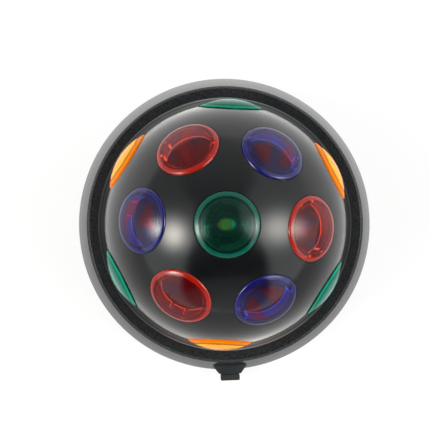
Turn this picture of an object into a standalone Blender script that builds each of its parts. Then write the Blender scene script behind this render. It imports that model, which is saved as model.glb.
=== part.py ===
"""A party lamp. A dark dome with thirteen coloured lenses turns on a low round base, driven by a gear motor.

Metres, +Z up. The origin is the centre of the flat panel under the base. The dome turns about Z, and the
cord outlet points along -Y.
"""

import math

import bmesh
import bpy
from mathutils import Matrix, Vector

# Clearances, overruns and merge distance
GAP = 0.0003  # between pieces that rest on each other
CUT = 0.0020  # how far a cutter runs past what it cuts
SINK = 0.0006  # how far joined shapes reach into each other
MERGE = 0.00001

# Bottom cover and feet
PANEL_RADIUS = 0.0300
PANEL_DEPTH = 0.0005  # the centre panel stands out by this much
COVER_THICKNESS = 0.0023
FOOT_RADIUS = 0.0065
FOOT_DROP = 0.0022  # below the centre panel
FOOT_RECESS = 0.0007
FOOT_INSET = 0.0140  # from the cover's edge to a foot's centre
FOOT_COUNT = 4
VENT_LENGTH = 0.0320
VENT_WIDTH = 0.0028
VENT_PITCH = 0.0070
VENT_ROWS = 3
VENT_START_SHARE = 0.75  # of the vents' pitch, from the panel's edge to the first vent
VENT_CORNER_SHARE = 0.3  # of a vent's width, taken off at its corners

# Base shell
WALL = 0.0022
MOTOR_HEIGHT = 0.0144
RIM_ABOVE_DECK = 0.0055
RIM_CHAMFER = 0.0016
BAND_WIDTH = 0.0058
BAND_RISE = 0.0007
SLOPE_RUN = 0.0095
WALL_TAPER = 0.0058
FOOT_CHAMFER = 0.0007
RING_GAP = 0.0024  # from the dome's edge to the inner foot of the slope

# Dome
DOME_RADIUS = 0.0750
DOME_WALL = 0.0025
DOME_DROP = 0.0317  # the dome's edge lies this far below its centre
DOME_LIFT = 0.0013  # the dome's edge runs this far above the deck
DOME_REST_TURN = math.radians(-4.8)

# Lenses
LENS_FLANGE_RADIUS = 0.0200
LENS_FLANGE = 0.0013
LENS_SEAT_DEPTH = 0.0004
LENS_SKIRT_RADIUS = 0.0169
LENS_SKIRT_WALL = 0.0015
LENS_SKIRT_DEPTH = 0.0061
LENS_BULGE = 0.0050
LENS_CAP_WALL = 0.0018
LENS_TAB_WIDTH = 0.0080
LENS_SLIT = 0.0012
LENS_SLIT_ROOT = 0.0012  # skirt left whole above the slits
LENS_BARB = 0.0009
LENS_BARB_HEIGHT = 0.0028
LENS_CAP_SHARE = 0.915  # radius of the bulge as a share of the flange's
LENS_BARB_SHARE = 0.5  # a barb's width as a share of its tab's
LENS_BARB_FOOT_SHARE = 0.25  # of the skirt's wall, how deep a barb's foot is sunk in it
LENSES_OF_A_COLOUR = 3  # in a ring
MIDDLE_RING_POLAR = math.radians(45)
OUTER_RING_POLAR = math.radians(86.6)
LENS_TURNS = {  # about a lens's own axis, counterclockwise as seen from outside
    "lens_green_top": math.radians(54.3),
    "lens_red_1": math.radians(-72),
    "lens_red_2": math.radians(54),
    "lens_red_3": math.radians(13),
    "lens_blue_1": math.radians(-77),
    "lens_blue_2": math.radians(-31),
    "lens_blue_3": math.radians(-86),
}

# Drive
MODULE = 0.00125
GEAR_TEETH = 42
PINION_TEETH = 14
PRESSURE_ANGLE = math.radians(20)
ADDENDUM_SHARE = 0.8
DEDENDUM_SHARE = 1.0
TOOTH_THINNING = 0.00022  # taken off a tooth at the pitch circle
GEAR_WIDTH = 0.0039
GEAR_WEB = 0.0022
GEAR_RIM = 0.0030
WASHER_THICKNESS = 0.0007
WASHER_RADIUS = 0.0112
POST_RADIUS = 0.0060
POST_BORE = 0.0044
POST_FLANGE_RADIUS = 0.0130
POST_FLANGE = 0.0025
BUSH_WALL = 0.0022
BUSH_FLANGE_RADIUS = 0.0105
BUSH_FLANGE = 0.0010
CLIP_THICKNESS = 0.0008
CLIP_RADIUS = 0.0095
CLIP_BITE = 0.0008
HEX_RADIUS = 0.0125
HEX_SIDES = 6
SHAFT_RADIUS = 0.0020
SHAFT_FLAT = 0.0004
MOTOR_RADIUS = 0.0210
MOTOR_POST_GAP = 0.0010
MOTOR_CHAMFER = 0.0010
MOTOR_BOSS_RADIUS = 0.0050
EAR_REACH = 0.0052  # from the can to an ear's screw
EAR_RADIUS = 0.0040
EAR_THICKNESS = 0.0015
EAR_SKIN_SHARE = 0.1  # of an ear's thickness, the step down from the can's top to the ears and the strap

# Carrier that holds the dome
CARRIER_THICKNESS = 0.0030
CARRIER_RING_WIDTH = 0.0068
CARRIER_SIDE_GAP = 0.0007
CARRIER_HUB_RADIUS = 0.0160
SPOKE_WIDTH = 0.0110
SPOKE_RIB = 0.0020
SPOKE_RIB_HEIGHT = 0.0025
SPOKE_COUNT = 3
SPOKE_SKIN_SHARE = 0.1  # a spoke is this share thinner on each face than the ring and hub
SPOKE_BITE_SHARE = 1 / 3  # of the ring's width, how far a spoke runs into it
LUG_WIDTH = 0.0100
LUG_HEIGHT = 0.0072
LUG_DEPTH = 0.0090

# Screws
SCREW_RADIUS = 0.0012
SCREW_HEAD_RADIUS = 0.0026
SCREW_HEAD = 0.0015
SCREW_TOP_SHARE = 0.75
COVER_SCREW_LENGTH = 0.0090
SHORT_SCREW_LENGTH = 0.0040
SCREW_CLEARANCE = 0.0003
BOSS_RADIUS = 0.0032
BOSS_OFFSET = 0.0022  # from the band's inner edge to a boss's centre

# Lamp head
LAMP_SIDES = 6
LAMP_HEIGHT = 0.0120
LAMP_FOOT_RADIUS = 0.0150
LAMP_TOP_RADIUS = 0.0098
LAMP_SOCKET = 0.0060
LAMP_BELOW_CENTRE = 0.0070
LED_BOARD = 0.0010
LED_SIDE = 0.0085
LED_TOP_RADIUS = 0.0078
LED_SIDE_DOME = 0.0024
LED_TOP_DOME = 0.0032
LED_SMALL_DOME = 0.0013
LED_PITCH = 0.0049

# Driver
BOARD_LENGTH = 0.0440
BOARD_WIDTH = 0.0260
BOARD_THICKNESS = 0.0016
BOARD_LIFT = 0.0030
BOARD_POST_GAP = 0.0070
BOARD_HOLE_INSET = 0.0035
STANDOFF_RADIUS = 0.0028
CHOKE_SIZE = Vector((0.0120, 0.0110, 0.0062))
CHOKE_FLANGE_SHARE = 0.125  # of its length
CHOKE_WINDING_SHARE = 0.7  # of its width
CAPACITOR_RADIUS = 0.0040
CAPACITOR_LENGTH = 0.0110
CAPACITOR_BEAD_SHARE = 0.125  # of its radius
TERMINAL_SIZE = Vector((0.0070, 0.0120, 0.0068))
TERMINAL_SLOT = 0.0026
TERMINAL_LAMP_SHARE = 0.25  # of its width, where the lamp's lead goes in
TERMINAL_SUPPLY_SHARE = 0.75  # of its width, where the supply lead goes in
TERMINAL_RISE_SHARE = 0.4  # of its height, where both go in

# Leads
LEAD_RADIUS = 0.0012
SUPPLY_RUN_SHARE = 0.85  # of the way from the axis to the wall, where the supply lead levels out
SUPPLY_BEND_SHARE = 0.45  # of the same way, where it bends to the board
SUPPLY_SWING_SHARE = 0.95  # of the terminal block's width, where it turns in
MOTOR_LEAD_START_SHARE = 1 / 3  # of the board's length, from the end by the post
MOTOR_LEAD_BEND_SHARE = 1 / 6  # of the same length, where the lead has come down
MOTOR_LEAD_SWING_SHARE = 0.7  # of the board's width
MOTOR_LEAD_END_SHARE = 0.72  # of the motor's radius, along X and along Y

# Cord outlet
OUTLET_WIDTH = 0.0215
OUTLET_NOSE_WIDTH = 0.0138
OUTLET_REACH = 0.0021  # from the base's edge to the outlet's face
OUTLET_ROOF = 0.0012
OUTLET_LIFT = 0.0011  # from the base's foot to the outlet block's underside
GLAND_WIDTH = 0.0122
GLAND_HEIGHT = 0.0080
GLAND_REACH = 0.0041
GLAND_BORE = 0.0026
GLAND_NECK_STEP = 0.0007
GLAND_COLLAR_STEP = 0.0010
GLAND_COLLAR = 0.0026
GLAND_EDGE = 0.0006
GLAND_LIFT = 0.0004

# Facet counts
BASE_STEPS = 44
CARRIER_STEPS = 24
LEAD_STEPS = 3
DOME_STEPS = 36
DOME_RINGS = 10
LENS_STEPS = 14
LENS_ARC_STEPS = 2
ROUND_STEPS = 16
SMALL_STEPS = 10
SCREW_STEPS = 6
EMITTER_STEPS = 8
EMITTER_RINGS = 4
LIMIT_STEPS = 48
LIMIT_RINGS = 24

# Levels up the axis
COVER_UNDER_Z = PANEL_DEPTH
COVER_TOP_Z = COVER_UNDER_Z + COVER_THICKNESS
MOTOR_FOOT_Z = COVER_TOP_Z + GAP
MOTOR_TOP_Z = MOTOR_FOOT_Z + MOTOR_HEIGHT
DECK_UNDER_Z = MOTOR_TOP_Z + GAP
DECK_TOP_Z = DECK_UNDER_Z + WALL
WASHER_Z = DECK_TOP_Z + GAP
GEAR_Z = WASHER_Z + WASHER_THICKNESS + GAP
CARRIER_Z = GEAR_Z + GEAR_WIDTH + GAP
CARRIER_TOP_Z = CARRIER_Z + CARRIER_THICKNESS
LUG_Z = CARRIER_TOP_Z + GAP
BUSH_TOP_Z = CARRIER_TOP_Z + GAP + BUSH_FLANGE
CLIP_Z = BUSH_TOP_Z + GAP
DOME_CENTRE_Z = DECK_TOP_Z + DOME_LIFT + DOME_DROP
LAMP_Z = DOME_CENTRE_Z - LAMP_BELOW_CENTRE
POST_FOOT_Z = DECK_UNDER_Z - GAP - POST_FLANGE
POST_TOP_Z = LAMP_Z + LAMP_SOCKET - GAP
RIM_Z = DECK_TOP_Z + RIM_ABOVE_DECK

# Radii and places that follow from the dome
SCREW_HOLE = SCREW_RADIUS + SCREW_CLEARANCE
DOME_BORE = DOME_RADIUS - DOME_WALL
DOME_EDGE_RADIUS = math.sqrt(DOME_RADIUS**2 - DOME_DROP**2)
DECK_RADIUS = DOME_EDGE_RADIUS + RING_GAP
BAND_INNER = DECK_RADIUS + SLOPE_RUN
BAND_OUTER = BAND_INNER + BAND_WIDTH
BASE_TOP_RADIUS = BAND_OUTER + RIM_CHAMFER
BASE_RADIUS = BASE_TOP_RADIUS + WALL_TAPER
COVER_RADIUS = BASE_RADIUS - FOOT_CHAMFER - WALL - GAP - GAP
FOOT_PLACE = COVER_RADIUS - FOOT_INSET
BOSS_PLACE = BAND_INNER + BOSS_OFFSET
BUSH_BORE = POST_RADIUS + GAP
BUSH_RADIUS = BUSH_BORE + BUSH_WALL
CENTRE_DISTANCE = MODULE * (GEAR_TEETH + PINION_TEETH) / 2
MOTOR_PLACE = POST_FLANGE_RADIUS + MOTOR_POST_GAP + MOTOR_RADIUS
POST_SCREW_PLACE = (POST_RADIUS + POST_FLANGE_RADIUS) / 2
LENS_HOLE = LENS_SKIRT_RADIUS + GAP
LENS_POCKET = LENS_FLANGE_RADIUS + GAP
LENS_SEAT = math.sqrt(DOME_RADIUS**2 - LENS_POCKET**2) - LENS_SEAT_DEPTH
CARRIER_DROP = DOME_CENTRE_Z - CARRIER_Z
CARRIER_RADIUS = math.sqrt(DOME_BORE**2 - CARRIER_DROP**2) - CARRIER_SIDE_GAP
CARRIER_RING_INNER = CARRIER_RADIUS - CARRIER_RING_WIDTH
CARRIER_SCREW_PLACE = CARRIER_RADIUS - CARRIER_RING_WIDTH / 2
LUG_INNER = CARRIER_SCREW_PLACE - LUG_DEPTH / 2
BOARD_PLACE = -(POST_FLANGE_RADIUS + BOARD_POST_GAP + BOARD_LENGTH / 2)
BOARD_Z = COVER_TOP_Z + BOARD_LIFT + GAP
BOARD_TOP_Z = BOARD_Z + BOARD_THICKNESS
GLAND_COLLAR_HEIGHT = GLAND_HEIGHT + GLAND_COLLAR_STEP
GLAND_Z = COVER_TOP_Z + GAP + GLAND_LIFT + GLAND_COLLAR_HEIGHT / 2
OUTLET_TOP_Z = GLAND_Z + GLAND_HEIGHT / 2 + OUTLET_ROOF
OUTLET_FACE = BASE_RADIUS + OUTLET_REACH

PLASTIC_BLACK = (0.022, 0.024, 0.028, 1.0)
COLOURS = {
    "lens_red": (0.62, 0.03, 0.05, 1.0),
    "lens_blue": (0.03, 0.05, 0.55, 1.0),
    "lens_green": (0.0, 0.26, 0.16, 1.0),
    "lens_amber": (0.85, 0.30, 0.01, 1.0),
    "metal": (0.60, 0.61, 0.62, 1.0),
    "steel": (0.45, 0.46, 0.48, 1.0),
    "brass": (0.72, 0.52, 0.22, 1.0),
    "nylon": (0.80, 0.79, 0.74, 1.0),
    "rubber": (0.018, 0.018, 0.019, 1.0),
    "board": (0.03, 0.16, 0.07, 1.0),
    "board_black": (0.05, 0.05, 0.055, 1.0),
    "copper": (0.65, 0.28, 0.12, 1.0),
    "terminal": (0.03, 0.20, 0.10, 1.0),
    "sleeve": (0.05, 0.05, 0.22, 1.0),
    "lead_red": (0.45, 0.02, 0.02, 1.0),
    "lead_white": (0.72, 0.71, 0.68, 1.0),
}


def clear_scene():
    for thing in list(bpy.data.objects):
        bpy.data.objects.remove(thing, do_unlink=True)


def make_collection(name, hidden):
    collection = bpy.data.collections.new(name)
    collection.hide_render = hidden
    bpy.context.scene.collection.children.link(collection)
    return collection


clear_scene()
PARTS = make_collection("disco_ball_light", False)
CUTTERS = make_collection("cutters", True)


def material(name, colour, roughness, metallic=0.0, transmission=0.0):
    made = bpy.data.materials.new(name)
    made.use_nodes = True
    shader = made.node_tree.nodes["Principled BSDF"]
    shader.inputs["Base Color"].default_value = colour
    shader.inputs["Roughness"].default_value = roughness
    shader.inputs["Metallic"].default_value = metallic
    shader.inputs["Transmission Weight"].default_value = transmission
    made.diffuse_color = colour
    return made


MATERIALS = {
    "gloss_black": material("gloss_black", PLASTIC_BLACK, 0.12),
    "satin_black": material("satin_black", PLASTIC_BLACK, 0.45),
    "rubber": material("rubber", COLOURS["rubber"], 0.8),
    "lens_red": material("lens_red", COLOURS["lens_red"], 0.08, transmission=0.9),
    "lens_blue": material("lens_blue", COLOURS["lens_blue"], 0.08, transmission=0.9),
    "lens_green": material("lens_green", COLOURS["lens_green"], 0.08, transmission=0.9),
    "lens_amber": material("lens_amber", COLOURS["lens_amber"], 0.08, transmission=0.9),
    "aluminium": material("aluminium", COLOURS["metal"], 0.35, 1.0),
    "steel": material("steel", COLOURS["steel"], 0.3, 1.0),
    "brass": material("brass", COLOURS["brass"], 0.3, 1.0),
    "nylon": material("nylon", COLOURS["nylon"], 0.5),
    "board": material("board", COLOURS["board"], 0.4),
    "board_black": material("board_black", COLOURS["board_black"], 0.4),
    "copper": material("copper", COLOURS["copper"], 0.4, 0.6),
    "terminal": material("terminal", COLOURS["terminal"], 0.45),
    "sleeve": material("sleeve", COLOURS["sleeve"], 0.35),
    "lead_red": material("lead_red", COLOURS["lead_red"], 0.5),
    "lead_white": material("lead_white", COLOURS["lead_white"], 0.5),
}


def link(name, data, look, matrix=None, parent=None):
    """Adds an object to the parts when it has a look, and to the cutters when it has none."""
    thing = bpy.data.objects.new(name, data)
    if look:
        data.materials.clear()
        data.materials.append(MATERIALS[look])
        PARTS.objects.link(thing)
    else:
        thing.display_type = "WIRE"
        thing.hide_render = True
        CUTTERS.objects.link(thing)
    if parent:
        thing.parent = parent
    if matrix:
        thing.matrix_local = matrix
    return thing


def smooth(mesh, degrees=32):
    mesh.shade_smooth()
    mesh.set_sharp_from_angle(angle=math.radians(degrees))


def turned(name, profile, steps, look=None, matrix=None, parent=None, closed=True):
    """Turns a profile about Z. It runs down its outer side, top to bottom; a closed one is a ring."""
    mesh = bpy.data.meshes.new(name)
    count = len(profile)
    edges = [(i, i + 1) for i in range(count - 1)]
    if closed:
        edges.append((count - 1, 0))
    mesh.from_pydata([(r, 0, z) for r, z in profile], edges, [])
    thing = link(name, mesh, look, matrix, parent)
    screw = thing.modifiers.new("turn", "SCREW")
    screw.steps = steps
    screw.render_steps = steps
    screw.use_merge_vertices = True
    screw.merge_threshold = MERGE
    screw.use_smooth_shade = False
    return thing


def from_bmesh(name, bm, look=None, matrix=None, parent=None):
    mesh = bpy.data.meshes.new(name)
    bmesh.ops.recalc_face_normals(bm, faces=bm.faces)
    bm.to_mesh(mesh)
    bm.free()
    return link(name, mesh, look, matrix, parent)


def add_box(bm, low, high):
    """A box between two corners. Returns its vertices."""
    low, high = Vector(low), Vector(high)
    place = Matrix.Translation((low + high) / 2) @ Matrix.Diagonal((*(high - low), 1))
    return bmesh.ops.create_cube(bm, size=1, matrix=place)["verts"]


def add_cylinder(bm, radius, low_z, high_z, segments=SMALL_STEPS, at=(0, 0), top_radius=None):
    """An upright cylinder or cone with a corner towards +X. Returns its vertices."""
    place = Matrix.Translation((*at, (low_z + high_z) / 2)) @ Matrix.Rotation(-math.pi / 2, 4, "Z")
    made = bmesh.ops.create_cone(
        bm,
        cap_ends=True,
        segments=segments,
        radius1=radius,
        radius2=radius if top_radius is None else top_radius,
        depth=high_z - low_z,
        matrix=place,
    )
    return made["verts"]


def around(radius, turn):
    return (radius * math.cos(turn), radius * math.sin(turn))


def boolean(target, cutter, operation="DIFFERENCE"):
    cut = target.modifiers.new(cutter.name, "BOOLEAN")
    cut.operation = operation
    cut.solver = "EXACT"
    cut.object = cutter


def baked(thing):
    """The object's shape after its modifiers, as a mesh of its own."""
    graph = bpy.context.evaluated_depsgraph_get()
    mesh = bpy.data.meshes.new_from_object(thing.evaluated_get(graph))
    return mesh


def arc(centre_z, radius, start, end, steps):
    """Points of an arc about a point on the axis, at angles measured from +Z."""
    turns = [start + (end - start) * i / steps for i in range(steps + 1)]
    return [(radius * math.sin(t), centre_z + radius * math.cos(t)) for t in turns]


def inset(profile, wall):
    """An open profile moved inwards by the wall, its corners kept sharp."""
    lines = []
    for (r0, z0), (r1, z1) in zip(profile, profile[1:]):
        along = Vector((r1 - r0, z1 - z0)).normalized()
        inward = Vector((along.y, -along.x))
        lines.append((Vector((r0, z0)) + inward * wall, along))
    corners = [lines[0][0]]
    for (p, d), (q, e) in zip(lines, lines[1:]):
        share = (q - p).cross(e) / d.cross(e)
        corners.append(p + d * share)
    last, along = lines[-1]
    length = (Vector(profile[-1]) - Vector(profile[-2])).length
    corners.append(last + along * length)
    return [(c.x, c.y) for c in corners]


def screw(name, length, place, up, parent=None):
    """A screw. Its head's seat is at the place, and its shank runs up or down from there."""
    profile = [
        (0, SCREW_HEAD),
        (SCREW_HEAD_RADIUS * SCREW_TOP_SHARE, SCREW_HEAD),
        (SCREW_HEAD_RADIUS, 0),
        (SCREW_RADIUS, 0),
        (SCREW_RADIUS, -length),
        (0, -length),
    ]
    matrix = Matrix.Translation(place)
    if up:
        matrix = matrix @ Matrix.Rotation(math.pi, 4, "X")
    return turned(name, profile, SCREW_STEPS, "steel", matrix, parent, closed=False)


def empty(name, place, turn):
    axis = bpy.data.objects.new(name, None)
    axis.matrix_local = Matrix.Translation(place) @ Matrix.Rotation(turn, 4, "Z")
    PARTS.objects.link(axis)
    return axis


DOME_AXIS = empty("dome_axis", (0, 0, 0), DOME_REST_TURN)


def pinion_turn():
    """The turn that puts a gap of the pinion opposite a tooth of the gear, which turns with the dome."""
    ratio = GEAR_TEETH / PINION_TEETH
    return math.pi - DOME_REST_TURN * ratio - math.pi / PINION_TEETH


PINION_AXIS = empty("pinion_axis", (CENTRE_DISTANCE, 0, 0), pinion_turn())


def base_outline():
    """The base's outer surface, from the axis out over the deck, up the slope and down the wall."""
    return [
        (0, DECK_TOP_Z),
        (DECK_RADIUS, DECK_TOP_Z),
        (BAND_INNER, RIM_Z + RIM_CHAMFER + BAND_RISE),
        (BAND_OUTER, RIM_Z + RIM_CHAMFER),
        (BASE_TOP_RADIUS, RIM_Z),
        (BASE_RADIUS, FOOT_CHAMFER),
        (BASE_RADIUS - FOOT_CHAMFER, 0),
        (0, 0),
    ]


def outlet_block():
    """The moulded block around the cord outlet: broad where its roof leaves the wall, narrow at its face."""
    bm = bmesh.new()
    root = BASE_TOP_RADIUS - WALL
    taper = (BASE_RADIUS - BASE_TOP_RADIUS) / (RIM_Z - FOOT_CHAMFER)
    shoulder = BASE_RADIUS - taper * (OUTLET_TOP_Z - FOOT_CHAMFER)
    half, nose = OUTLET_WIDTH / 2, OUTLET_NOSE_WIDTH / 2
    add_box(bm, (-half, -shoulder, OUTLET_LIFT), (half, -root, OUTLET_TOP_Z))
    front = [v for v in bm.verts if v.co.y < -(root + shoulder) / 2]
    faces = [f for f in bm.faces if all(v in front for v in f.verts)]
    made = bmesh.ops.extrude_face_region(bm, geom=faces)["geom"]
    bmesh.ops.delete(bm, geom=faces, context="FACES_ONLY")
    for v in [g for g in made if isinstance(g, bmesh.types.BMVert)]:
        v.co.y = -OUTLET_FACE
        v.co.x = math.copysign(nose, v.co.x)
    return from_bmesh("outlet_block", bm)


def base_hollow():
    """What the base's wall encloses, run out past the open bottom along the wall's inner face."""
    inner = inset(base_outline()[:6], WALL)
    inner[0] = (0, DECK_UNDER_Z)
    (r0, z0), (r1, z1) = inner[-2:]
    inner[-1] = (r1 + (r1 - r0) * (z1 + CUT) / (z0 - z1), -CUT)
    return turned("base_hollow", [*inner, (0, -CUT)], BASE_STEPS, closed=False)


def base_bosses():
    bm = bmesh.new()
    top = RIM_Z + RIM_CHAMFER / 2
    for i in range(FOOT_COUNT):
        place = around(BOSS_PLACE, math.pi * (2 * i + 1) / FOOT_COUNT)
        add_cylinder(bm, BOSS_RADIUS, COVER_TOP_Z + GAP, top, SMALL_STEPS, place)
    return from_bmesh("base_bosses", bm)


def ear_places():
    reach = MOTOR_RADIUS + EAR_REACH
    return [(MOTOR_PLACE, -reach), (MOTOR_PLACE, reach)]


def base_holes():
    """Holes through the deck, screw holes in the bosses and the slot for the cord's gland."""
    bm = bmesh.new()
    low, high = DECK_UNDER_Z - CUT, DECK_TOP_Z + CUT
    add_cylinder(bm, POST_RADIUS + GAP, low, high, ROUND_STEPS)
    add_cylinder(bm, MOTOR_BOSS_RADIUS + GAP, low, high, SMALL_STEPS, (CENTRE_DISTANCE, 0))
    for place in ear_places():
        add_cylinder(bm, SCREW_HOLE, low, high, SCREW_STEPS, place)
    for side in (-1, 1):
        add_cylinder(bm, SCREW_HOLE, low, high, SCREW_STEPS, (0, side * POST_SCREW_PLACE))
    for i in range(FOOT_COUNT):
        place = around(BOSS_PLACE, math.pi * (2 * i + 1) / FOOT_COUNT)
        depth = COVER_SCREW_LENGTH + CUT
        add_cylinder(bm, SCREW_HOLE, COVER_TOP_Z - CUT, COVER_TOP_Z + depth, SCREW_STEPS, place)
    half = GLAND_WIDTH / 2 - GLAND_NECK_STEP + GAP
    rise = GLAND_HEIGHT / 2 - GLAND_NECK_STEP + GAP
    inner = BASE_TOP_RADIUS - WALL - CUT
    add_box(bm, (-half, -OUTLET_FACE - CUT, GLAND_Z - rise), (half, -inner, GLAND_Z + rise))
    return from_bmesh("base_holes", bm)


def make_base_shell():
    shell = turned("base_shell", base_outline(), BASE_STEPS, "gloss_black", closed=False)
    boolean(shell, outlet_block(), "UNION")
    boolean(shell, base_hollow())
    boolean(shell, base_bosses(), "UNION")
    boolean(shell, base_holes())
    return shell


def cover_cuts():
    """Foot recesses, vents and countersunk screw holes in the bottom cover."""
    bm = bmesh.new()
    for i in range(FOOT_COUNT):
        seat = around(FOOT_PLACE, 2 * math.pi * i / FOOT_COUNT)
        top = COVER_UNDER_Z + FOOT_RECESS
        add_cylinder(bm, FOOT_RADIUS + GAP, COVER_UNDER_Z - CUT, top, SMALL_STEPS, seat)
        place = around(BOSS_PLACE, math.pi * (2 * i + 1) / FOOT_COUNT)
        add_cylinder(bm, SCREW_HOLE, 0, COVER_TOP_Z + CUT, SCREW_STEPS, place)
    half, width = VENT_LENGTH / 2, VENT_WIDTH / 2
    for side in (-1, 1):
        for row in range(VENT_ROWS):
            y = side * (PANEL_RADIUS + VENT_PITCH * (row + VENT_START_SHARE))
            verts = add_box(bm, (-half, y - width, -CUT), (half, y + width, COVER_TOP_Z + CUT))
            edges = {e for v in verts for e in v.link_edges}
            upright = [e for e in edges if abs(e.verts[0].co.z - e.verts[1].co.z) > CUT]
            corner = VENT_WIDTH * VENT_CORNER_SHARE
            bmesh.ops.bevel(bm, geom=upright, offset=corner, segments=1, affect="EDGES")
    return from_bmesh("cover_cuts", bm)


def make_bottom_cover():
    profile = [
        (0, COVER_TOP_Z),
        (COVER_RADIUS, COVER_TOP_Z),
        (COVER_RADIUS, COVER_UNDER_Z),
        (PANEL_RADIUS + PANEL_DEPTH, COVER_UNDER_Z),
        (PANEL_RADIUS, 0),
        (0, 0),
    ]
    cover = turned("bottom_cover", profile, BASE_STEPS, "satin_black", closed=False)
    bm = bmesh.new()
    low, high = COVER_TOP_Z - SINK, COVER_TOP_Z + BOARD_LIFT
    for place in board_screw_places():
        add_cylinder(bm, STANDOFF_RADIUS, low, high, SMALL_STEPS, place)
    boolean(cover, from_bmesh("standoffs", bm), "UNION")
    bm = bmesh.new()
    for place in board_screw_places():
        add_cylinder(bm, SCREW_HOLE, high - BOARD_LIFT, high + CUT, SCREW_STEPS, place)
    boolean(cover, from_bmesh("standoff_bores", bm))
    boolean(cover, cover_cuts())
    return cover


def make_cover_screws():
    for i in range(FOOT_COUNT):
        x, y = around(BOSS_PLACE, math.pi * (2 * i + 1) / FOOT_COUNT)
        place = (x, y, COVER_UNDER_Z - GAP)
        screw(f"cover_screw_{i + 1}", COVER_SCREW_LENGTH, place, up=True)


def make_feet():
    top = COVER_UNDER_Z + FOOT_RECESS - GAP
    profile = [
        (0, top),
        (FOOT_RADIUS, top),
        (FOOT_RADIUS, -FOOT_DROP + PANEL_DEPTH),
        (FOOT_RADIUS - PANEL_DEPTH, -FOOT_DROP),
        (0, -FOOT_DROP),
    ]
    for i in range(FOOT_COUNT):
        x, y = around(FOOT_PLACE, 2 * math.pi * i / FOOT_COUNT)
        place = Matrix.Translation((x, y, 0))
        turned(f"rubber_foot_{i + 1}", profile, SMALL_STEPS, "rubber", place, closed=False)


def make_gland():
    """The cord's gland: a block outside the wall, a neck through it and a collar inside."""
    bm = bmesh.new()
    half, rise = GLAND_WIDTH / 2, GLAND_HEIGHT / 2
    start = -OUTLET_FACE - GAP
    add_box(bm, (-half, start - GLAND_REACH, GLAND_Z - rise), (half, start, GLAND_Z + rise))
    bmesh.ops.bevel(bm, geom=list(bm.edges), offset=GLAND_EDGE, segments=1, affect="EDGES")
    gland = from_bmesh("cord_gland", bm, "rubber")
    collar_start = -math.sqrt((BASE_TOP_RADIUS - WALL) ** 2 - half**2) + GAP
    collar_end = collar_start + GLAND_COLLAR
    bm = bmesh.new()
    neck, neck_rise = half - GLAND_NECK_STEP, rise - GLAND_NECK_STEP
    add_box(
        bm,
        (-neck, start - GLAND_REACH / 2, GLAND_Z - neck_rise),
        (neck, collar_start + GLAND_COLLAR / 2, GLAND_Z + neck_rise),
    )
    boolean(gland, from_bmesh("gland_neck", bm), "UNION")
    bm = bmesh.new()
    wide, tall = half + GLAND_COLLAR_STEP / 2, rise + GLAND_COLLAR_STEP / 2
    add_box(bm, (-wide, collar_start, GLAND_Z - tall), (wide, collar_end, GLAND_Z + tall))
    boolean(gland, from_bmesh("gland_collar", bm), "UNION")
    bm = bmesh.new()
    depth = collar_end - start + GLAND_REACH + CUT + CUT
    along = Matrix.Translation((0, start - GLAND_REACH - CUT + depth / 2, GLAND_Z))
    along = along @ Matrix.Rotation(math.pi / 2, 4, "X")
    bmesh.ops.create_cone(
        bm,
        cap_ends=True,
        segments=SMALL_STEPS,
        radius1=GLAND_BORE,
        radius2=GLAND_BORE,
        depth=depth,
        matrix=along,
    )
    boolean(gland, from_bmesh("gland_bore", bm))
    return gland


def lens_profile():
    """Half a lens, its flange's underside at zero: bulged cap, flat flange and thin skirt."""
    cap_radius = LENS_FLANGE_RADIUS * LENS_CAP_SHARE
    bend = (cap_radius**2 + LENS_BULGE**2) / (2 * LENS_BULGE)
    centre = LENS_FLANGE + LENS_BULGE - bend
    inner_bend = bend - LENS_CAP_WALL
    bore = LENS_SKIRT_RADIUS - LENS_SKIRT_WALL
    outer = arc(centre, bend, 0, math.asin(cap_radius / bend), LENS_ARC_STEPS)
    inner = arc(centre, inner_bend, math.asin(bore / inner_bend), 0, LENS_ARC_STEPS - 1)
    sides = [
        (LENS_FLANGE_RADIUS, LENS_FLANGE),
        (LENS_FLANGE_RADIUS, 0),
        (LENS_SKIRT_RADIUS, 0),
        (LENS_SKIRT_RADIUS, -LENS_SKIRT_DEPTH),
        (bore, -LENS_SKIRT_DEPTH),
    ]
    return outer + sides + inner


def barb_top():
    """The height of a barb's catch above the lens's flange, just under the dome's inner face."""
    reach = LENS_SKIRT_RADIUS + LENS_BARB
    return math.sqrt(DOME_BORE**2 - reach**2) - LENS_SEAT - 3 * GAP


def lens_mesh():
    lens = turned("lens_blank", lens_profile(), LENS_STEPS, closed=False)
    bm = bmesh.new()
    for side in (-1, 1):
        x = side * (LENS_TAB_WIDTH + LENS_SLIT) / 2
        slit, reach = LENS_SLIT / 2, LENS_SKIRT_RADIUS + CUT
        low, high = -LENS_SKIRT_DEPTH - CUT, -LENS_SLIT_ROOT
        add_box(bm, (x - slit, -reach, low), (x + slit, reach, high))
    boolean(lens, from_bmesh("lens_slits", bm))
    bm = bmesh.new()
    half = LENS_TAB_WIDTH * LENS_BARB_SHARE / 2
    root, tip = LENS_SKIRT_RADIUS - LENS_SKIRT_WALL / 2, LENS_SKIRT_RADIUS + LENS_BARB
    foot = LENS_SKIRT_RADIUS - LENS_SKIRT_WALL * LENS_BARB_FOOT_SHARE
    top = barb_top()
    for side in (-1, 1):
        low = (-half, min(side * root, side * tip), top - LENS_BARB_HEIGHT)
        high = (half, max(side * root, side * tip), top)
        for v in add_box(bm, low, high):
            if v.co.z < top - LENS_BARB_HEIGHT / 2 and abs(v.co.y) > (root + tip) / 2:
                v.co.y = side * foot
    boolean(lens, from_bmesh("lens_barbs", bm), "UNION")
    mesh = baked(lens)
    bpy.data.objects.remove(lens, do_unlink=True)
    return mesh


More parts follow.
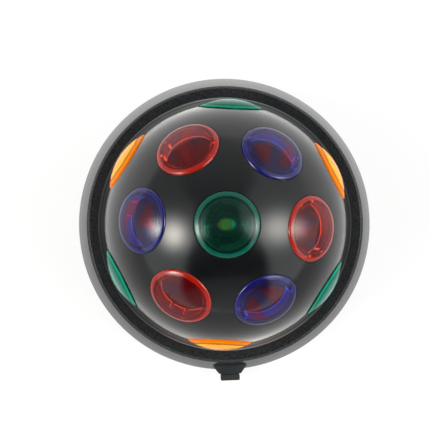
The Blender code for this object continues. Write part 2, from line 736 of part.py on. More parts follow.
def lens_places():
    """Each lens's name, look, tilt and turn about the dome's centre, and turn about its own axis."""
    places = [("lens_green_top", "lens_green", 0, 0)]
    third = 2 * math.pi / LENSES_OF_A_COLOUR
    sixth, twelfth = third / 2, third / 4
    for i in range(LENSES_OF_A_COLOUR):
        turn = third * i
        places.append((f"lens_red_{i + 1}", "lens_red", MIDDLE_RING_POLAR, turn))
        places.append((f"lens_blue_{i + 1}", "lens_blue", MIDDLE_RING_POLAR, turn + sixth))
        places.append((f"lens_amber_{i + 1}", "lens_amber", OUTER_RING_POLAR, turn + twelfth))
        places.append((f"lens_green_{i + 1}", "lens_green", OUTER_RING_POLAR, turn + 3 * twelfth))
    return [(*place, LENS_TURNS.get(place[0], 0)) for place in places]


def lens_matrix(polar, turn, own_turn, distance):
    """A lens's frame in the dome's: Z out along its axis and Y down the dome before its own turn."""
    tilt = Matrix.Rotation(turn, 4, "Z") @ Matrix.Rotation(polar, 4, "Y")
    tilt = tilt @ Matrix.Rotation(own_turn - math.pi / 2, 4, "Z")
    return Matrix.Translation((0, 0, DOME_CENTRE_Z)) @ tilt @ Matrix.Translation((0, 0, distance))


def make_lenses():
    master = lens_mesh()
    smooth(master)
    meshes = {}
    for name, look, *turns in lens_places():
        if look not in meshes:
            meshes[look] = master.copy()
        link(name, meshes[look], look, lens_matrix(*turns, LENS_SEAT + GAP), DOME_AXIS)


def lens_pockets():
    """One stepped cutter for each lens: its skirt's hole and its flange's seat."""
    step = turned(
        "pocket",
        [
            (0, LENS_BULGE + LENS_FLANGE),
            (LENS_POCKET, LENS_BULGE + LENS_FLANGE),
            (LENS_POCKET, 0),
            (LENS_HOLE, 0),
            (LENS_HOLE, -LENS_SKIRT_DEPTH - CUT),
            (0, -LENS_SKIRT_DEPTH - CUT),
        ],
        LENS_STEPS,
        closed=False,
    )
    one = baked(step)
    bpy.data.objects.remove(step, do_unlink=True)
    bm = bmesh.new()
    for _, _, *turns in lens_places():
        known = len(bm.verts)
        bm.from_mesh(one)
        bm.verts.ensure_lookup_table()
        bmesh.ops.transform(bm, matrix=lens_matrix(*turns, LENS_SEAT), verts=bm.verts[known:])
    return from_bmesh("lens_pockets", bm, parent=DOME_AXIS)


def dome_lugs():
    """Three lugs on the dome's inner face, cut to its curve, for the carrier's screws."""
    bm = bmesh.new()
    low, high = LUG_Z, LUG_Z + LUG_HEIGHT
    for i in range(SPOKE_COUNT):
        verts = add_box(bm, (LUG_INNER, -LUG_WIDTH / 2, low), (DOME_RADIUS, LUG_WIDTH / 2, high))
        turn = Matrix.Rotation(2 * math.pi * i / SPOKE_COUNT, 4, "Z")
        bmesh.ops.transform(bm, matrix=turn, verts=verts)
    lugs = from_bmesh("dome_lugs", bm, parent=DOME_AXIS)
    bm = bmesh.new()
    middle = DOME_RADIUS - DOME_WALL / 2
    place = Matrix.Translation((0, 0, DOME_CENTRE_Z))
    steps, rings = LIMIT_STEPS, LIMIT_RINGS
    bmesh.ops.create_uvsphere(bm, u_segments=steps, v_segments=rings, radius=middle, matrix=place)
    boolean(lugs, from_bmesh("lug_limit", bm, parent=DOME_AXIS), "INTERSECT")
    return lugs


def carrier_screw_places():
    return [around(CARRIER_SCREW_PLACE, 2 * math.pi * i / SPOKE_COUNT) for i in range(SPOKE_COUNT)]


def make_dome():
    inner_limit = math.acos(-DOME_DROP / DOME_BORE)
    outer_limit = math.acos(-DOME_DROP / DOME_RADIUS)
    outer = arc(DOME_CENTRE_Z, DOME_RADIUS, 0, outer_limit, DOME_RINGS)
    inner = arc(DOME_CENTRE_Z, DOME_BORE, inner_limit, 0, DOME_RINGS)
    dome = turned("dome_shell", outer + inner, DOME_STEPS, "gloss_black", parent=DOME_AXIS, closed=False)
    boolean(dome, lens_pockets())
    boolean(dome, dome_lugs(), "UNION")
    bm = bmesh.new()
    for place in carrier_screw_places():
        depth = SHORT_SCREW_LENGTH + GAP
        add_cylinder(bm, SCREW_HOLE, LUG_Z - CUT, LUG_Z + depth, SCREW_STEPS, place)
    boolean(dome, from_bmesh("lug_bores", bm, parent=DOME_AXIS))
    return dome


def spoke_shapes():
    """Spokes with a rib along each, from inside the hub to inside the ring."""
    bm = bmesh.new()
    start = CARRIER_HUB_RADIUS - SPOKE_RIB
    end = CARRIER_RING_INNER + CARRIER_RING_WIDTH * SPOKE_BITE_SHARE
    skin = CARRIER_THICKNESS * SPOKE_SKIN_SHARE
    for i in range(SPOKE_COUNT):
        turn = Matrix.Rotation(2 * math.pi * i / SPOKE_COUNT, 4, "Z")
        half = SPOKE_WIDTH / 2
        verts = add_box(bm, (start, -half, CARRIER_Z + skin), (end, half, CARRIER_TOP_Z - skin))
        bmesh.ops.transform(bm, matrix=turn, verts=verts)
    return from_bmesh("spokes", bm, parent=DOME_AXIS)


def spoke_ribs():
    """A rib along the top of each spoke that slopes down before the dome's lug."""
    bm = bmesh.new()
    start, end = BUSH_FLANGE_RADIUS + SPOKE_RIB, LUG_INNER - SPOKE_RIB
    low, high = CARRIER_TOP_Z - SINK, CARRIER_TOP_Z + SPOKE_RIB_HEIGHT
    half = SPOKE_RIB / 2
    for i in range(SPOKE_COUNT):
        turn = Matrix.Rotation(2 * math.pi * i / SPOKE_COUNT, 4, "Z")
        verts = add_box(bm, (start, -half, low), (end, half, high))
        for v in verts:
            if v.co.z > CARRIER_TOP_Z and v.co.x > (start + end) / 2:
                v.co.x -= SPOKE_RIB_HEIGHT
        bmesh.ops.transform(bm, matrix=turn, verts=verts)
    return from_bmesh("spoke_ribs", bm, parent=DOME_AXIS)


def make_carrier():
    """The spider inside the dome: ring, three ribbed spokes, and a hub with a hexagon for the gear."""
    ring = [
        (CARRIER_RING_INNER, CARRIER_TOP_Z),
        (CARRIER_RADIUS, CARRIER_TOP_Z),
        (CARRIER_RADIUS, CARRIER_Z),
        (CARRIER_RING_INNER, CARRIER_Z),
    ]
    carrier = turned("dome_carrier", ring, CARRIER_STEPS, "nylon", parent=DOME_AXIS)
    boolean(carrier, spoke_shapes(), "UNION")
    bm = bmesh.new()
    add_cylinder(bm, CARRIER_HUB_RADIUS, CARRIER_Z, CARRIER_TOP_Z, ROUND_STEPS)
    boolean(carrier, from_bmesh("carrier_hub", bm, parent=DOME_AXIS), "UNION")
    boolean(carrier, spoke_ribs(), "UNION")
    bm = bmesh.new()
    add_cylinder(bm, HEX_RADIUS, GEAR_Z, CARRIER_Z + SINK, HEX_SIDES)
    boolean(carrier, from_bmesh("carrier_hexagon", bm, parent=DOME_AXIS), "UNION")
    bm = bmesh.new()
    add_cylinder(bm, BUSH_RADIUS + GAP, GEAR_Z - CUT, CARRIER_TOP_Z + CUT, ROUND_STEPS)
    for place in carrier_screw_places():
        add_cylinder(bm, SCREW_HOLE, CARRIER_Z - CUT, CARRIER_TOP_Z + CUT, SCREW_STEPS, place)
    boolean(carrier, from_bmesh("carrier_bores", bm, parent=DOME_AXIS))
    for i, (x, y) in enumerate(carrier_screw_places()):
        length = SHORT_SCREW_LENGTH + CARRIER_THICKNESS
        screw(f"carrier_screw_{i + 1}", length, (x, y, CARRIER_Z - GAP), up=True, parent=DOME_AXIS)


def make_bush():
    profile = [
        (BUSH_BORE, BUSH_TOP_Z),
        (BUSH_FLANGE_RADIUS, BUSH_TOP_Z),
        (BUSH_FLANGE_RADIUS, CARRIER_TOP_Z + GAP),
        (BUSH_RADIUS, CARRIER_TOP_Z + GAP),
        (BUSH_RADIUS, GEAR_Z),
        (BUSH_BORE, GEAR_Z),
    ]
    turned("hub_bush", profile, ROUND_STEPS, "brass", parent=DOME_AXIS)


def involute(base, radius):
    """The angle that an involute has swept where it reaches a radius."""
    spin = math.sqrt(max(radius**2 - base**2, 0)) / base
    return spin - math.atan(spin)


def gear_outline(teeth):
    """A spur gear's outline, with a tooth at angle zero. Each flank is a chord of its involute."""
    pitch = MODULE * teeth / 2
    base = pitch * math.cos(PRESSURE_ANGLE)
    tip = pitch + MODULE * ADDENDUM_SHARE
    root = pitch - MODULE * DEDENDUM_SHARE
    half = math.pi / (2 * teeth) - TOOTH_THINNING / (2 * pitch)
    at_pitch = involute(base, pitch)
    flank = [max(root, base), tip]
    points = []
    for k in range(teeth):
        middle = 2 * math.pi * k / teeth
        sides = [(r, half + at_pitch - involute(base, r)) for r in flank]
        rise = [(r, middle - a) for r, a in sides]
        fall = [(r, middle + a) for r, a in reversed(sides)]
        if root < base:
            rise.insert(0, (root, rise[0][1]))
            fall.append((root, fall[-1][1]))
        points += [around(r, a) for r, a in rise + fall]
    return points


def extruded(name, outline, low, high, look=None, parent=None):
    bm = bmesh.new()
    face = bm.faces.new([bm.verts.new((x, y, low)) for x, y in outline])
    made = bmesh.ops.extrude_face_region(bm, geom=[face])["geom"]
    for v in [g for g in made if isinstance(g, bmesh.types.BMVert)]:
        v.co.z = high
    return from_bmesh(name, bm, look, parent=parent)


def make_drive_gear():
    top = GEAR_Z + GEAR_WIDTH
    gear = extruded("drive_gear", gear_outline(GEAR_TEETH), GEAR_Z, top, "nylon", DOME_AXIS)
    root = MODULE * (GEAR_TEETH / 2 - DEDENDUM_SHARE)
    recess = [
        (HEX_RADIUS + GEAR_RIM, top - GEAR_WEB),
        (root - GEAR_RIM, top - GEAR_WEB),
        (root - GEAR_RIM, GEAR_Z - CUT),
        (HEX_RADIUS + GEAR_RIM, GEAR_Z - CUT),
    ]
    boolean(gear, turned("gear_recess", recess, ROUND_STEPS, parent=DOME_AXIS))
    bm = bmesh.new()
    hexagon = HEX_RADIUS + GAP / math.cos(math.pi / HEX_SIDES)
    add_cylinder(bm, hexagon, GEAR_Z - CUT, top + CUT, HEX_SIDES)
    boolean(gear, from_bmesh("gear_hexagon", bm, parent=DOME_AXIS))


def flatted(bm, radius, flat, low, high):
    """A round bar with a flat along its +X side."""
    for v in add_cylinder(bm, radius, low, high, ROUND_STEPS):
        v.co.x = min(v.co.x, flat)


def make_pinion():
    """The pinion and its shaft, which has a flat, turn about an axis of their own."""
    top = GEAR_Z + GEAR_WIDTH
    pinion = extruded("pinion", gear_outline(PINION_TEETH), GEAR_Z, top, "nylon", PINION_AXIS)
    flat = SHAFT_RADIUS - SHAFT_FLAT
    bm = bmesh.new()
    flatted(bm, SHAFT_RADIUS + GAP, flat + GAP, GEAR_Z - CUT, top + CUT)
    boolean(pinion, from_bmesh("pinion_bore", bm, parent=PINION_AXIS))
    bm = bmesh.new()
    flatted(bm, SHAFT_RADIUS, flat, MOTOR_FOOT_Z + MOTOR_HEIGHT / 2, top)
    from_bmesh("motor_shaft", bm, "steel", parent=PINION_AXIS)


def make_motor():
    """A flat geared motor under the deck: a can with a strap, two ears and a boss round its shaft."""
    radius = MOTOR_RADIUS
    profile = [
        (0, MOTOR_TOP_Z),
        (radius - MOTOR_CHAMFER, MOTOR_TOP_Z),
        (radius, MOTOR_TOP_Z - MOTOR_CHAMFER),
        (radius, MOTOR_FOOT_Z + MOTOR_CHAMFER),
        (radius - MOTOR_CHAMFER, MOTOR_FOOT_Z),
        (0, MOTOR_FOOT_Z),
    ]
    place = Matrix.Translation((MOTOR_PLACE, 0, 0))
    motor = turned("gear_motor", profile, ROUND_STEPS, "steel", place, closed=False)
    bm = bmesh.new()
    low = MOTOR_TOP_Z - EAR_THICKNESS
    skin = EAR_THICKNESS * EAR_SKIN_SHARE
    for x, y in ear_places():
        add_cylinder(bm, EAR_RADIUS, low, MOTOR_TOP_Z - skin, SMALL_STEPS, (x, y))
    boolean(motor, from_bmesh("motor_ears", bm), "UNION")
    bm = bmesh.new()
    reach = MOTOR_RADIUS + EAR_REACH
    half = EAR_RADIUS - MOTOR_CHAMFER
    top = MOTOR_TOP_Z - 2 * skin
    add_box(bm, (MOTOR_PLACE - half, -reach, low + skin), (MOTOR_PLACE + half, reach, top))
    boolean(motor, from_bmesh("motor_strap", bm), "UNION")
    bm = bmesh.new()
    boss_top = DECK_TOP_Z - GAP
    add_cylinder(bm, MOTOR_BOSS_RADIUS, MOTOR_TOP_Z - SINK, boss_top, SMALL_STEPS, (CENTRE_DISTANCE, 0))
    boolean(motor, from_bmesh("motor_boss", bm), "UNION")
    bm = bmesh.new()
    depth = MOTOR_FOOT_Z + MOTOR_HEIGHT / 2 - GAP
    add_cylinder(bm, SHAFT_RADIUS + GAP, depth, DECK_TOP_Z + CUT, ROUND_STEPS, (CENTRE_DISTANCE, 0))
    for x, y in ear_places():
        add_cylinder(bm, SCREW_HOLE, low - CUT, DECK_UNDER_Z + CUT, SCREW_STEPS, (x, y))
    boolean(motor, from_bmesh("motor_bores", bm))
    length = EAR_THICKNESS + WALL + GAP
    for i, (x, y) in enumerate(ear_places()):
        screw(f"motor_screw_{i + 1}", length, (x, y, low - GAP), up=True)


def make_post():
    """The hollow post that the dome turns on. Its flange is screwed up against the deck."""
    groove = POST_RADIUS - CLIP_BITE
    flange_top = DECK_UNDER_Z - GAP
    profile = [
        (POST_BORE, POST_TOP_Z),
        (POST_RADIUS, POST_TOP_Z),
        (POST_RADIUS, CLIP_Z + CLIP_THICKNESS + GAP),
        (groove, CLIP_Z + CLIP_THICKNESS + GAP),
        (groove, CLIP_Z - GAP),
        (POST_RADIUS, CLIP_Z - GAP),
        (POST_RADIUS, flange_top),
        (POST_FLANGE_RADIUS, flange_top),
        (POST_FLANGE_RADIUS, POST_FOOT_Z),
        (POST_BORE, POST_FOOT_Z),
    ]
    post = turned("centre_post", profile, ROUND_STEPS, "aluminium")
    bm = bmesh.new()
    for side in (-1, 1):
        place = (0, side * POST_SCREW_PLACE)
        add_cylinder(bm, SCREW_HOLE, POST_FOOT_Z - CUT, DECK_UNDER_Z, SCREW_STEPS, place)
    boolean(post, from_bmesh("post_bores", bm))
    for i, side in enumerate((-1, 1)):
        place = (0, side * POST_SCREW_PLACE, POST_FOOT_Z - GAP)
        screw(f"post_screw_{i + 1}", POST_FLANGE + WALL, place, up=True)


def make_washer_and_clip():
    washer_top = WASHER_Z + WASHER_THICKNESS
    washer = [
        (BUSH_BORE, washer_top),
        (WASHER_RADIUS, washer_top),
        (WASHER_RADIUS, WASHER_Z),
        (BUSH_BORE, WASHER_Z),
    ]
    turned("thrust_washer", washer, ROUND_STEPS, "nylon")
    bite = POST_RADIUS - CLIP_BITE + GAP
    clip_top = CLIP_Z + CLIP_THICKNESS
    ring = [(bite, clip_top), (CLIP_RADIUS, clip_top), (CLIP_RADIUS, CLIP_Z), (bite, CLIP_Z)]
    clip = turned("retaining_clip", ring, ROUND_STEPS, "steel")
    bm = bmesh.new()
    add_box(bm, (-bite, 0, CLIP_Z - CUT), (bite, CLIP_RADIUS + CUT, clip_top + CUT))
    boolean(clip, from_bmesh("clip_mouth", bm))


def make_lamp_head():
    """A six-sided metal block on the post, with a socket below and a bore for the leads."""
    bm = bmesh.new()
    top = LAMP_Z + LAMP_HEIGHT
    add_cylinder(bm, LAMP_FOOT_RADIUS, LAMP_Z, top, LAMP_SIDES, top_radius=LAMP_TOP_RADIUS)
    head = from_bmesh("lamp_head", bm, "aluminium")
    bm = bmesh.new()
    add_cylinder(bm, POST_RADIUS + GAP, LAMP_Z - CUT, LAMP_Z + LAMP_SOCKET, ROUND_STEPS)
    boolean(head, from_bmesh("lamp_socket", bm))
    bm = bmesh.new()
    add_cylinder(bm, POST_BORE, LAMP_Z + LAMP_SOCKET - CUT, top + CUT, SMALL_STEPS)
    boolean(head, from_bmesh("lamp_bore", bm))


def led_emitters(name, emitters, matrix=None):
    """Domed emitters on a board whose top is at LED_BOARD, each at a place along X."""
    bm = bmesh.new()
    for radius, x in emitters:
        verts = bmesh.ops.create_uvsphere(
            bm,
            u_segments=EMITTER_STEPS,
            v_segments=EMITTER_RINGS,
            radius=radius,
            matrix=Matrix.Translation((x, 0, LED_BOARD)),
        )["verts"]
        for v in verts:
            v.co.z = max(v.co.z, LED_BOARD / 2)
        bmesh.ops.remove_doubles(bm, verts=verts, dist=MERGE)
    return from_bmesh(name, bm, matrix=matrix)


def make_leds():
    top = Matrix.Translation((0, 0, LAMP_Z + LAMP_HEIGHT + GAP))
    board = [(0, LED_BOARD), (LED_TOP_RADIUS, LED_BOARD), (LED_TOP_RADIUS, 0), (0, 0)]
    led_top = turned("led_top", board, ROUND_STEPS, "board_black", top, closed=False)
    row = [(LED_TOP_DOME, 0), (LED_SMALL_DOME, -LED_PITCH), (LED_SMALL_DOME, LED_PITCH)]
    boolean(led_top, led_emitters("top_emitters", row, top), "UNION")
    flat = math.cos(math.pi / LAMP_SIDES)
    foot, tip = LAMP_FOOT_RADIUS * flat, LAMP_TOP_RADIUS * flat
    lean = math.atan((foot - tip) / LAMP_HEIGHT)
    for i in range(LAMP_SIDES):
        turn = Matrix.Rotation(math.pi * (2 * i + 1) / LAMP_SIDES, 4, "Z")
        out = Matrix.Translation(((foot + tip) / 2, 0, LAMP_Z + LAMP_HEIGHT / 2))
        face = Matrix.Rotation(math.pi / 2 - lean, 4, "Y") @ Matrix.Translation((0, 0, GAP))
        place = turn @ out @ face
        bm = bmesh.new()
        half = LED_SIDE / 2
        add_box(bm, (-half, -half, 0), (half, half, LED_BOARD))
        led = from_bmesh(f"led_side_{i + 1}", bm, "board_black", place)
        emitters = led_emitters(f"side_emitter_{i + 1}", [(LED_SIDE_DOME, 0)], place)
        boolean(led, emitters, "UNION")


def board_screw_places():
    dx = BOARD_LENGTH / 2 - BOARD_HOLE_INSET
    dy = BOARD_WIDTH / 2 - BOARD_HOLE_INSET
    return [(BOARD_PLACE - dx, -dy), (BOARD_PLACE + dx, dy)]


def make_driver():
    """The driver board on its standoffs, with a choke, a capacitor and a terminal block."""
    bm = bmesh.new()
    half, width = BOARD_LENGTH / 2, BOARD_WIDTH / 2
    add_box(bm, (BOARD_PLACE - half, -width, BOARD_Z), (BOARD_PLACE + half, width, BOARD_TOP_Z))
    board = from_bmesh("driver_board", bm, "board")
    bm = bmesh.new()
    for place in board_screw_places():
        add_cylinder(bm, SCREW_HOLE, BOARD_Z - CUT, BOARD_TOP_Z + CUT, SCREW_STEPS, place)
    boolean(board, from_bmesh("board_holes", bm))
    for i, (x, y) in enumerate(board_screw_places()):
        length = BOARD_THICKNESS + BOARD_LIFT - GAP
        screw(f"board_screw_{i + 1}", length, (x, y, BOARD_TOP_Z + GAP), up=False)
    seat = BOARD_TOP_Z + GAP
    make_choke(seat)
    make_capacitor(seat)
    make_terminal(seat)


def make_choke(seat):
    """A wound choke: a bobbin of two flanges with the winding between them."""
    size = CHOKE_SIZE / 2
    x = BOARD_PLACE
    flange = CHOKE_SIZE.x * CHOKE_FLANGE_SHARE
    bm = bmesh.new()
    add_box(bm, (x - size.x, -size.y, seat), (x + size.x, size.y, seat + CHOKE_SIZE.z))
    choke = from_bmesh("driver_choke", bm, "copper")
    bm = bmesh.new()
    slim = size.y * CHOKE_WINDING_SHARE
    for side in (-1, 1):
        edge = side * (size.y + CUT)
        low = (x - size.x + flange, min(side * slim, edge), seat - CUT)
        high = (x + size.x - flange, max(side * slim, edge), seat + CHOKE_SIZE.z + CUT)
        add_box(bm, low, high)
    boolean(choke, from_bmesh("choke_cut", bm))


def make_capacitor(seat):
    """A round capacitor lying on the board, along Y."""
    radius, bead = CAPACITOR_RADIUS, CAPACITOR_RADIUS * CAPACITOR_BEAD_SHARE
    x = BOARD_PLACE - BOARD_LENGTH / 2 + BOARD_HOLE_INSET + radius
    half = CAPACITOR_LENGTH / 2
    profile = [
        (0, half),
        (radius - bead, half),
        (radius, half - bead),
        (radius, bead - half),
        (radius - bead, -half),
        (0, -half),
    ]
    place = Matrix.Translation((x, BOARD_WIDTH / 2 - half - bead, seat + radius))
    place = place @ Matrix.Rotation(math.pi / 2, 4, "X")
    turned("driver_capacitor", profile, SMALL_STEPS, "sleeve", place, closed=False)


def make_terminal(seat):
    bm = bmesh.new()
    size = TERMINAL_SIZE
    x = BOARD_PLACE + BOARD_LENGTH / 2 - BOARD_HOLE_INSET - size.x / 2
    add_box(bm, (x - size.x / 2, -size.y, seat), (x + size.x / 2, 0, seat + size.z))
    block = from_bmesh("terminal_block", bm, "terminal")
    bm = bmesh.new()
    slot = TERMINAL_SLOT / 2
    z = seat + size.z * TERMINAL_RISE_SHARE
    for share in (TERMINAL_LAMP_SHARE, TERMINAL_SUPPLY_SHARE):
        y = -size.y * share
        add_box(bm, (x, y - slot, z - slot), (x + size.x, y + slot, z + slot))
    boolean(block, from_bmesh("terminal_slots", bm))


def lead(name, look, points):
    """A thin lead along a smooth curve through its route's points."""
    curve = bpy.data.curves.new(name, "CURVE")
    curve.dimensions = "3D"
    curve.bevel_depth = LEAD_RADIUS
    curve.bevel_resolution = 0
    curve.use_fill_caps = True
    route = [Vector(p) for p in points]
    route = [2 * route[0] - route[1], *route, 2 * route[-1] - route[-2]]
    places = []
    for a, b, c, d in zip(route, route[1:], route[2:], route[3:]):
        steps = LEAD_STEPS
        for i in range(steps):
            t = i / steps
            even = 2 * b + (c - a) * t + (2 * a - 5 * b + 4 * c - d) * t**2
            places.append((even + (3 * b - 3 * c + d - a) * t**3) / 2)
    places.append(route[-2])
    spline = curve.splines.new("POLY")
    spline.points.add(len(places) - 1)
    for point, place in zip(spline.points, places):
        point.co = (*place, 1)
    thing = bpy.data.objects.new(name, curve)
    curve.materials.append(MATERIALS[look])
    PARTS.objects.link(thing)


def make_leads():
    """Leads from the driver up through the post to the lamp, to the motor, and in from the gland."""
    room = LEAD_RADIUS + GAP
    edge = BOARD_PLACE + BOARD_LENGTH / 2
    low = BOARD_TOP_Z + TERMINAL_SIZE.z * TERMINAL_RISE_SHARE
    under = (COVER_TOP_Z + POST_FOOT_Z) / 2
    lamp_y = -TERMINAL_SIZE.y * TERMINAL_LAMP_SHARE
    lead(
        "lamp_lead",
        "lead_red",
        [
            (edge - BOARD_HOLE_INSET + room, lamp_y, low),
            (edge + BOARD_POST_GAP / 2, lamp_y, low),
            (-POST_BORE, 0, under),
            (0, 0, POST_FOOT_Z + POST_FLANGE),
            (0, 0, CARRIER_TOP_Z),
            (0, 0, LAMP_Z + LAMP_HEIGHT - GAP),
        ],
    )
    start = -math.sqrt((BASE_TOP_RADIUS - WALL) ** 2 - (GLAND_WIDTH / 2) ** 2) + GAP + GLAND_COLLAR
    rest = GLAND_Z - GLAND_BORE * math.cos(math.pi / SMALL_STEPS) + LEAD_RADIUS + GAP
    lead(
        "supply_lead",
        "lead_white",
        [
            (0, start - GLAND_COLLAR, rest),
            (0, start + GLAND_COLLAR, rest),
            (0, start * SUPPLY_RUN_SHARE, GLAND_Z),
            (edge + BOARD_POST_GAP, start * SUPPLY_BEND_SHARE, GLAND_Z),
            (edge + BOARD_POST_GAP / 2, -TERMINAL_SIZE.y * SUPPLY_SWING_SHARE, low),
            (edge - BOARD_HOLE_INSET + room, -TERMINAL_SIZE.y * TERMINAL_SUPPLY_SHARE, low),
        ],
    )
    y = BOARD_WIDTH / 2 - BOARD_HOLE_INSET
    begin = edge - BOARD_LENGTH * MOTOR_LEAD_START_SHARE
    bend = edge - BOARD_LENGTH * MOTOR_LEAD_BEND_SHARE
    end = MOTOR_RADIUS * MOTOR_LEAD_END_SHARE + room
    lead(
        "motor_lead",
        "lead_white",
        [
            (begin, y, BOARD_TOP_Z + GAP),
            (begin, y, BOARD_TOP_Z + 3 * room),
            (bend, BOARD_WIDTH * MOTOR_LEAD_SWING_SHARE, under),
            (0, MOTOR_RADIUS, under),
            (MOTOR_PLACE - end, end, under),
        ],
    )


def build():
    make_base_shell()
    make_bottom_cover()
    make_cover_screws()
    make_feet()
    make_gland()
    make_post()
    make_washer_and_clip()
    make_motor()
    make_driver()
    make_lamp_head()
    make_leds()
    make_leads()
    make_dome()
    make_lenses()
    make_carrier()
    make_bush()
    make_drive_gear()
    make_pinion()
    for thing in PARTS.objects:
        if thing.type == "MESH":
            smooth(thing.data)


build()
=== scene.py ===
"""A table party light: a glossy black half-ball with thirteen clear coloured lenses turns on a round base."""

import math

import bmesh
import bpy
from mathutils import Matrix, Vector


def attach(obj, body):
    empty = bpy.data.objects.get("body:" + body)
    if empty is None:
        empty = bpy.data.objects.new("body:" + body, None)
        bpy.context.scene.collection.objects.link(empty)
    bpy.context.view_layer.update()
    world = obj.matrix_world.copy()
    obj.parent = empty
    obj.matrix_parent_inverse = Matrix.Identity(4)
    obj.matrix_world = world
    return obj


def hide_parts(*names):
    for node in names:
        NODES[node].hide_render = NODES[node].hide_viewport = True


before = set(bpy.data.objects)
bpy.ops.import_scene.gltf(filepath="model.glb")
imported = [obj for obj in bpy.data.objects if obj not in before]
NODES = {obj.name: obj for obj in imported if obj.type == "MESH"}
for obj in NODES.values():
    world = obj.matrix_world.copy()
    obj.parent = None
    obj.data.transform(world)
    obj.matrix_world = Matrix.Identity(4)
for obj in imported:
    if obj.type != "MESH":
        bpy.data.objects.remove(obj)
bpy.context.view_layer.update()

MM = 0.001
TAU = 2 * math.pi

# The CAD's own levels and radii, in millimetres.
DECK_UNDER, DECK_TOP = 17.8, 20.0
DECK_RADIUS = 70.371
RIM = 25.5
BAND_IN, BAND_OUT = 79.871, 85.671
BAND_IN_Z, BAND_OUT_Z = 27.8, 27.1
WALL_TOP_RADIUS, WALL_FOOT_RADIUS = 87.271, 93.071
WALL = 2.2
DOME_CENTRE = 53.0
DOME_R, DOME_BORE = 75.0, 72.5
DOME_DROP = 31.7
DOME_TURN = math.radians(-4.8)
LENS_SEAT = 71.8
LENS_LIFT = 0.3
FLANGE_R, FLANGE = 20.0, 1.3
SKIRT_R, SKIRT_WALL, SKIRT_DEPTH = 16.9, 1.5, 6.1
CAP_BEND, CAP_BULGE, CAP_WALL = 39.4, 5.0, 1.8
TAB, SLIT = 8.0, 1.6
BEAD = 1.7
POCKET_R, HOLE_R = 20.3, 17.2
OUTLET_FACE = 95.171
GLAND_Z = 8.0
FLOOR_Z = -2.2
BOSS_CIRCLE, FOOT_CIRCLE = 82.071, 75.571
FOOT_OF_WALL = 0.7
SCREW_BORE = 1.5
LUG_FACE, LUG_HALF = 66.382, 5
LUG_LOW, LUG_HIGH = 28.8, 36.0


# Meshes


PIECES = bpy.data.collections.new("dressed")
bpy.context.scene.collection.children.link(PIECES)


def link(name, mesh):
    """An object of the scene made from a mesh."""
    thing = bpy.data.objects.new(name, mesh)
    PIECES.objects.link(thing)
    return thing


def smooth(mesh, degrees=35.0):
    """Shades a mesh smooth, apart from edges sharper than the angle."""
    for face in mesh.polygons:
        face.use_smooth = True
    mesh.set_sharp_from_angle(angle=math.radians(degrees))


def turned(name, profile, steps):
    """A solid turned about Z from an open profile of (radius, height) in millimetres."""
    bm = bmesh.new()
    rings = []
    for r, z in profile:
        if r < 1e-6:
            rings.append([bm.verts.new((0, 0, z * MM))])
            continue
        ring = []
        for i in range(steps):
            a = TAU * i / steps
            ring.append(bm.verts.new((r * MM * math.cos(a), r * MM * math.sin(a), z * MM)))
        rings.append(ring)
    for a, b in zip(rings, rings[1:]):
        for i in range(steps):
            j = (i + 1) % steps
            corners = [a[i % len(a)], b[i % len(b)], b[j % len(b)], a[j % len(a)]]
            face = list(dict.fromkeys(corners))
            if len(face) > 2:
                bm.faces.new(face)
    bmesh.ops.recalc_face_normals(bm, faces=bm.faces[:])
    return solid(name, bm)


def solid(name, bm):
    """Ends a bmesh and links its mesh as an object."""
    mesh = bpy.data.meshes.new(name)
    bm.to_mesh(mesh)
    bm.free()
    return link(name, mesh)


def block(bm, low, high):
    """A box between two corners in millimetres."""
    made = bmesh.ops.create_cube(bm, size=1)["verts"]
    for v in made:
        for k in range(3):
            v.co[k] = (low[k] if v.co[k] < 0 else high[k]) * MM
    return made


def prism(bm, outline, low, high):
    """An upright solid between two levels, from an outline of points, all in millimetres."""
    rows = [[bm.verts.new((x * MM, y * MM, z * MM)) for x, y in outline] for z in (low, high)]
    bm.faces.new(rows[0][::-1])
    bm.faces.new(rows[1])
    for i in range(len(outline)):
        j = (i + 1) % len(outline)
        bm.faces.new((rows[0][i], rows[0][j], rows[1][j], rows[1][i]))


def around(radius, count, start=0.0):
    """Points evenly spaced on a circle, in millimetres."""
    turns = [TAU * i / count + start for i in range(count)]
    return [(radius * math.cos(a), radius * math.sin(a)) for a in turns]


def rod(bm, radius, low, high, at=(0, 0), segments=48):
    """An upright cylinder between two levels, in millimetres."""
    place = Matrix.Translation((at[0] * MM, at[1] * MM, (low + high) / 2 * MM))
    bmesh.ops.create_cone(
        bm,
        cap_ends=True,
        segments=segments,
        radius1=radius * MM,
        radius2=radius * MM,
        depth=(high - low) * MM,
        matrix=place,
    )


def cut(target, other, operation="DIFFERENCE"):
    """Applies a Boolean at once and removes the other solid."""
    change = target.modifiers.new("cut", "BOOLEAN")
    change.operation = operation
    change.solver = "EXACT"
    change.object = other
    target.data = baked(target)
    target.modifiers.clear()
    bpy.data.objects.remove(other, do_unlink=True)


def baked(thing):
    """An object's mesh with its modifiers applied."""
    bpy.context.view_layer.update()
    graph = bpy.context.evaluated_depsgraph_get()
    return bpy.data.meshes.new_from_object(thing.evaluated_get(graph))


def arc(cr, cz, radius, start, end, steps):
    """Points of an arc about (cr, cz), at angles measured from +Z towards +R."""
    turns = [start + (end - start) * i / steps for i in range(steps + 1)]
    return [(cr + radius * math.sin(t), cz + radius * math.cos(t)) for t in turns]


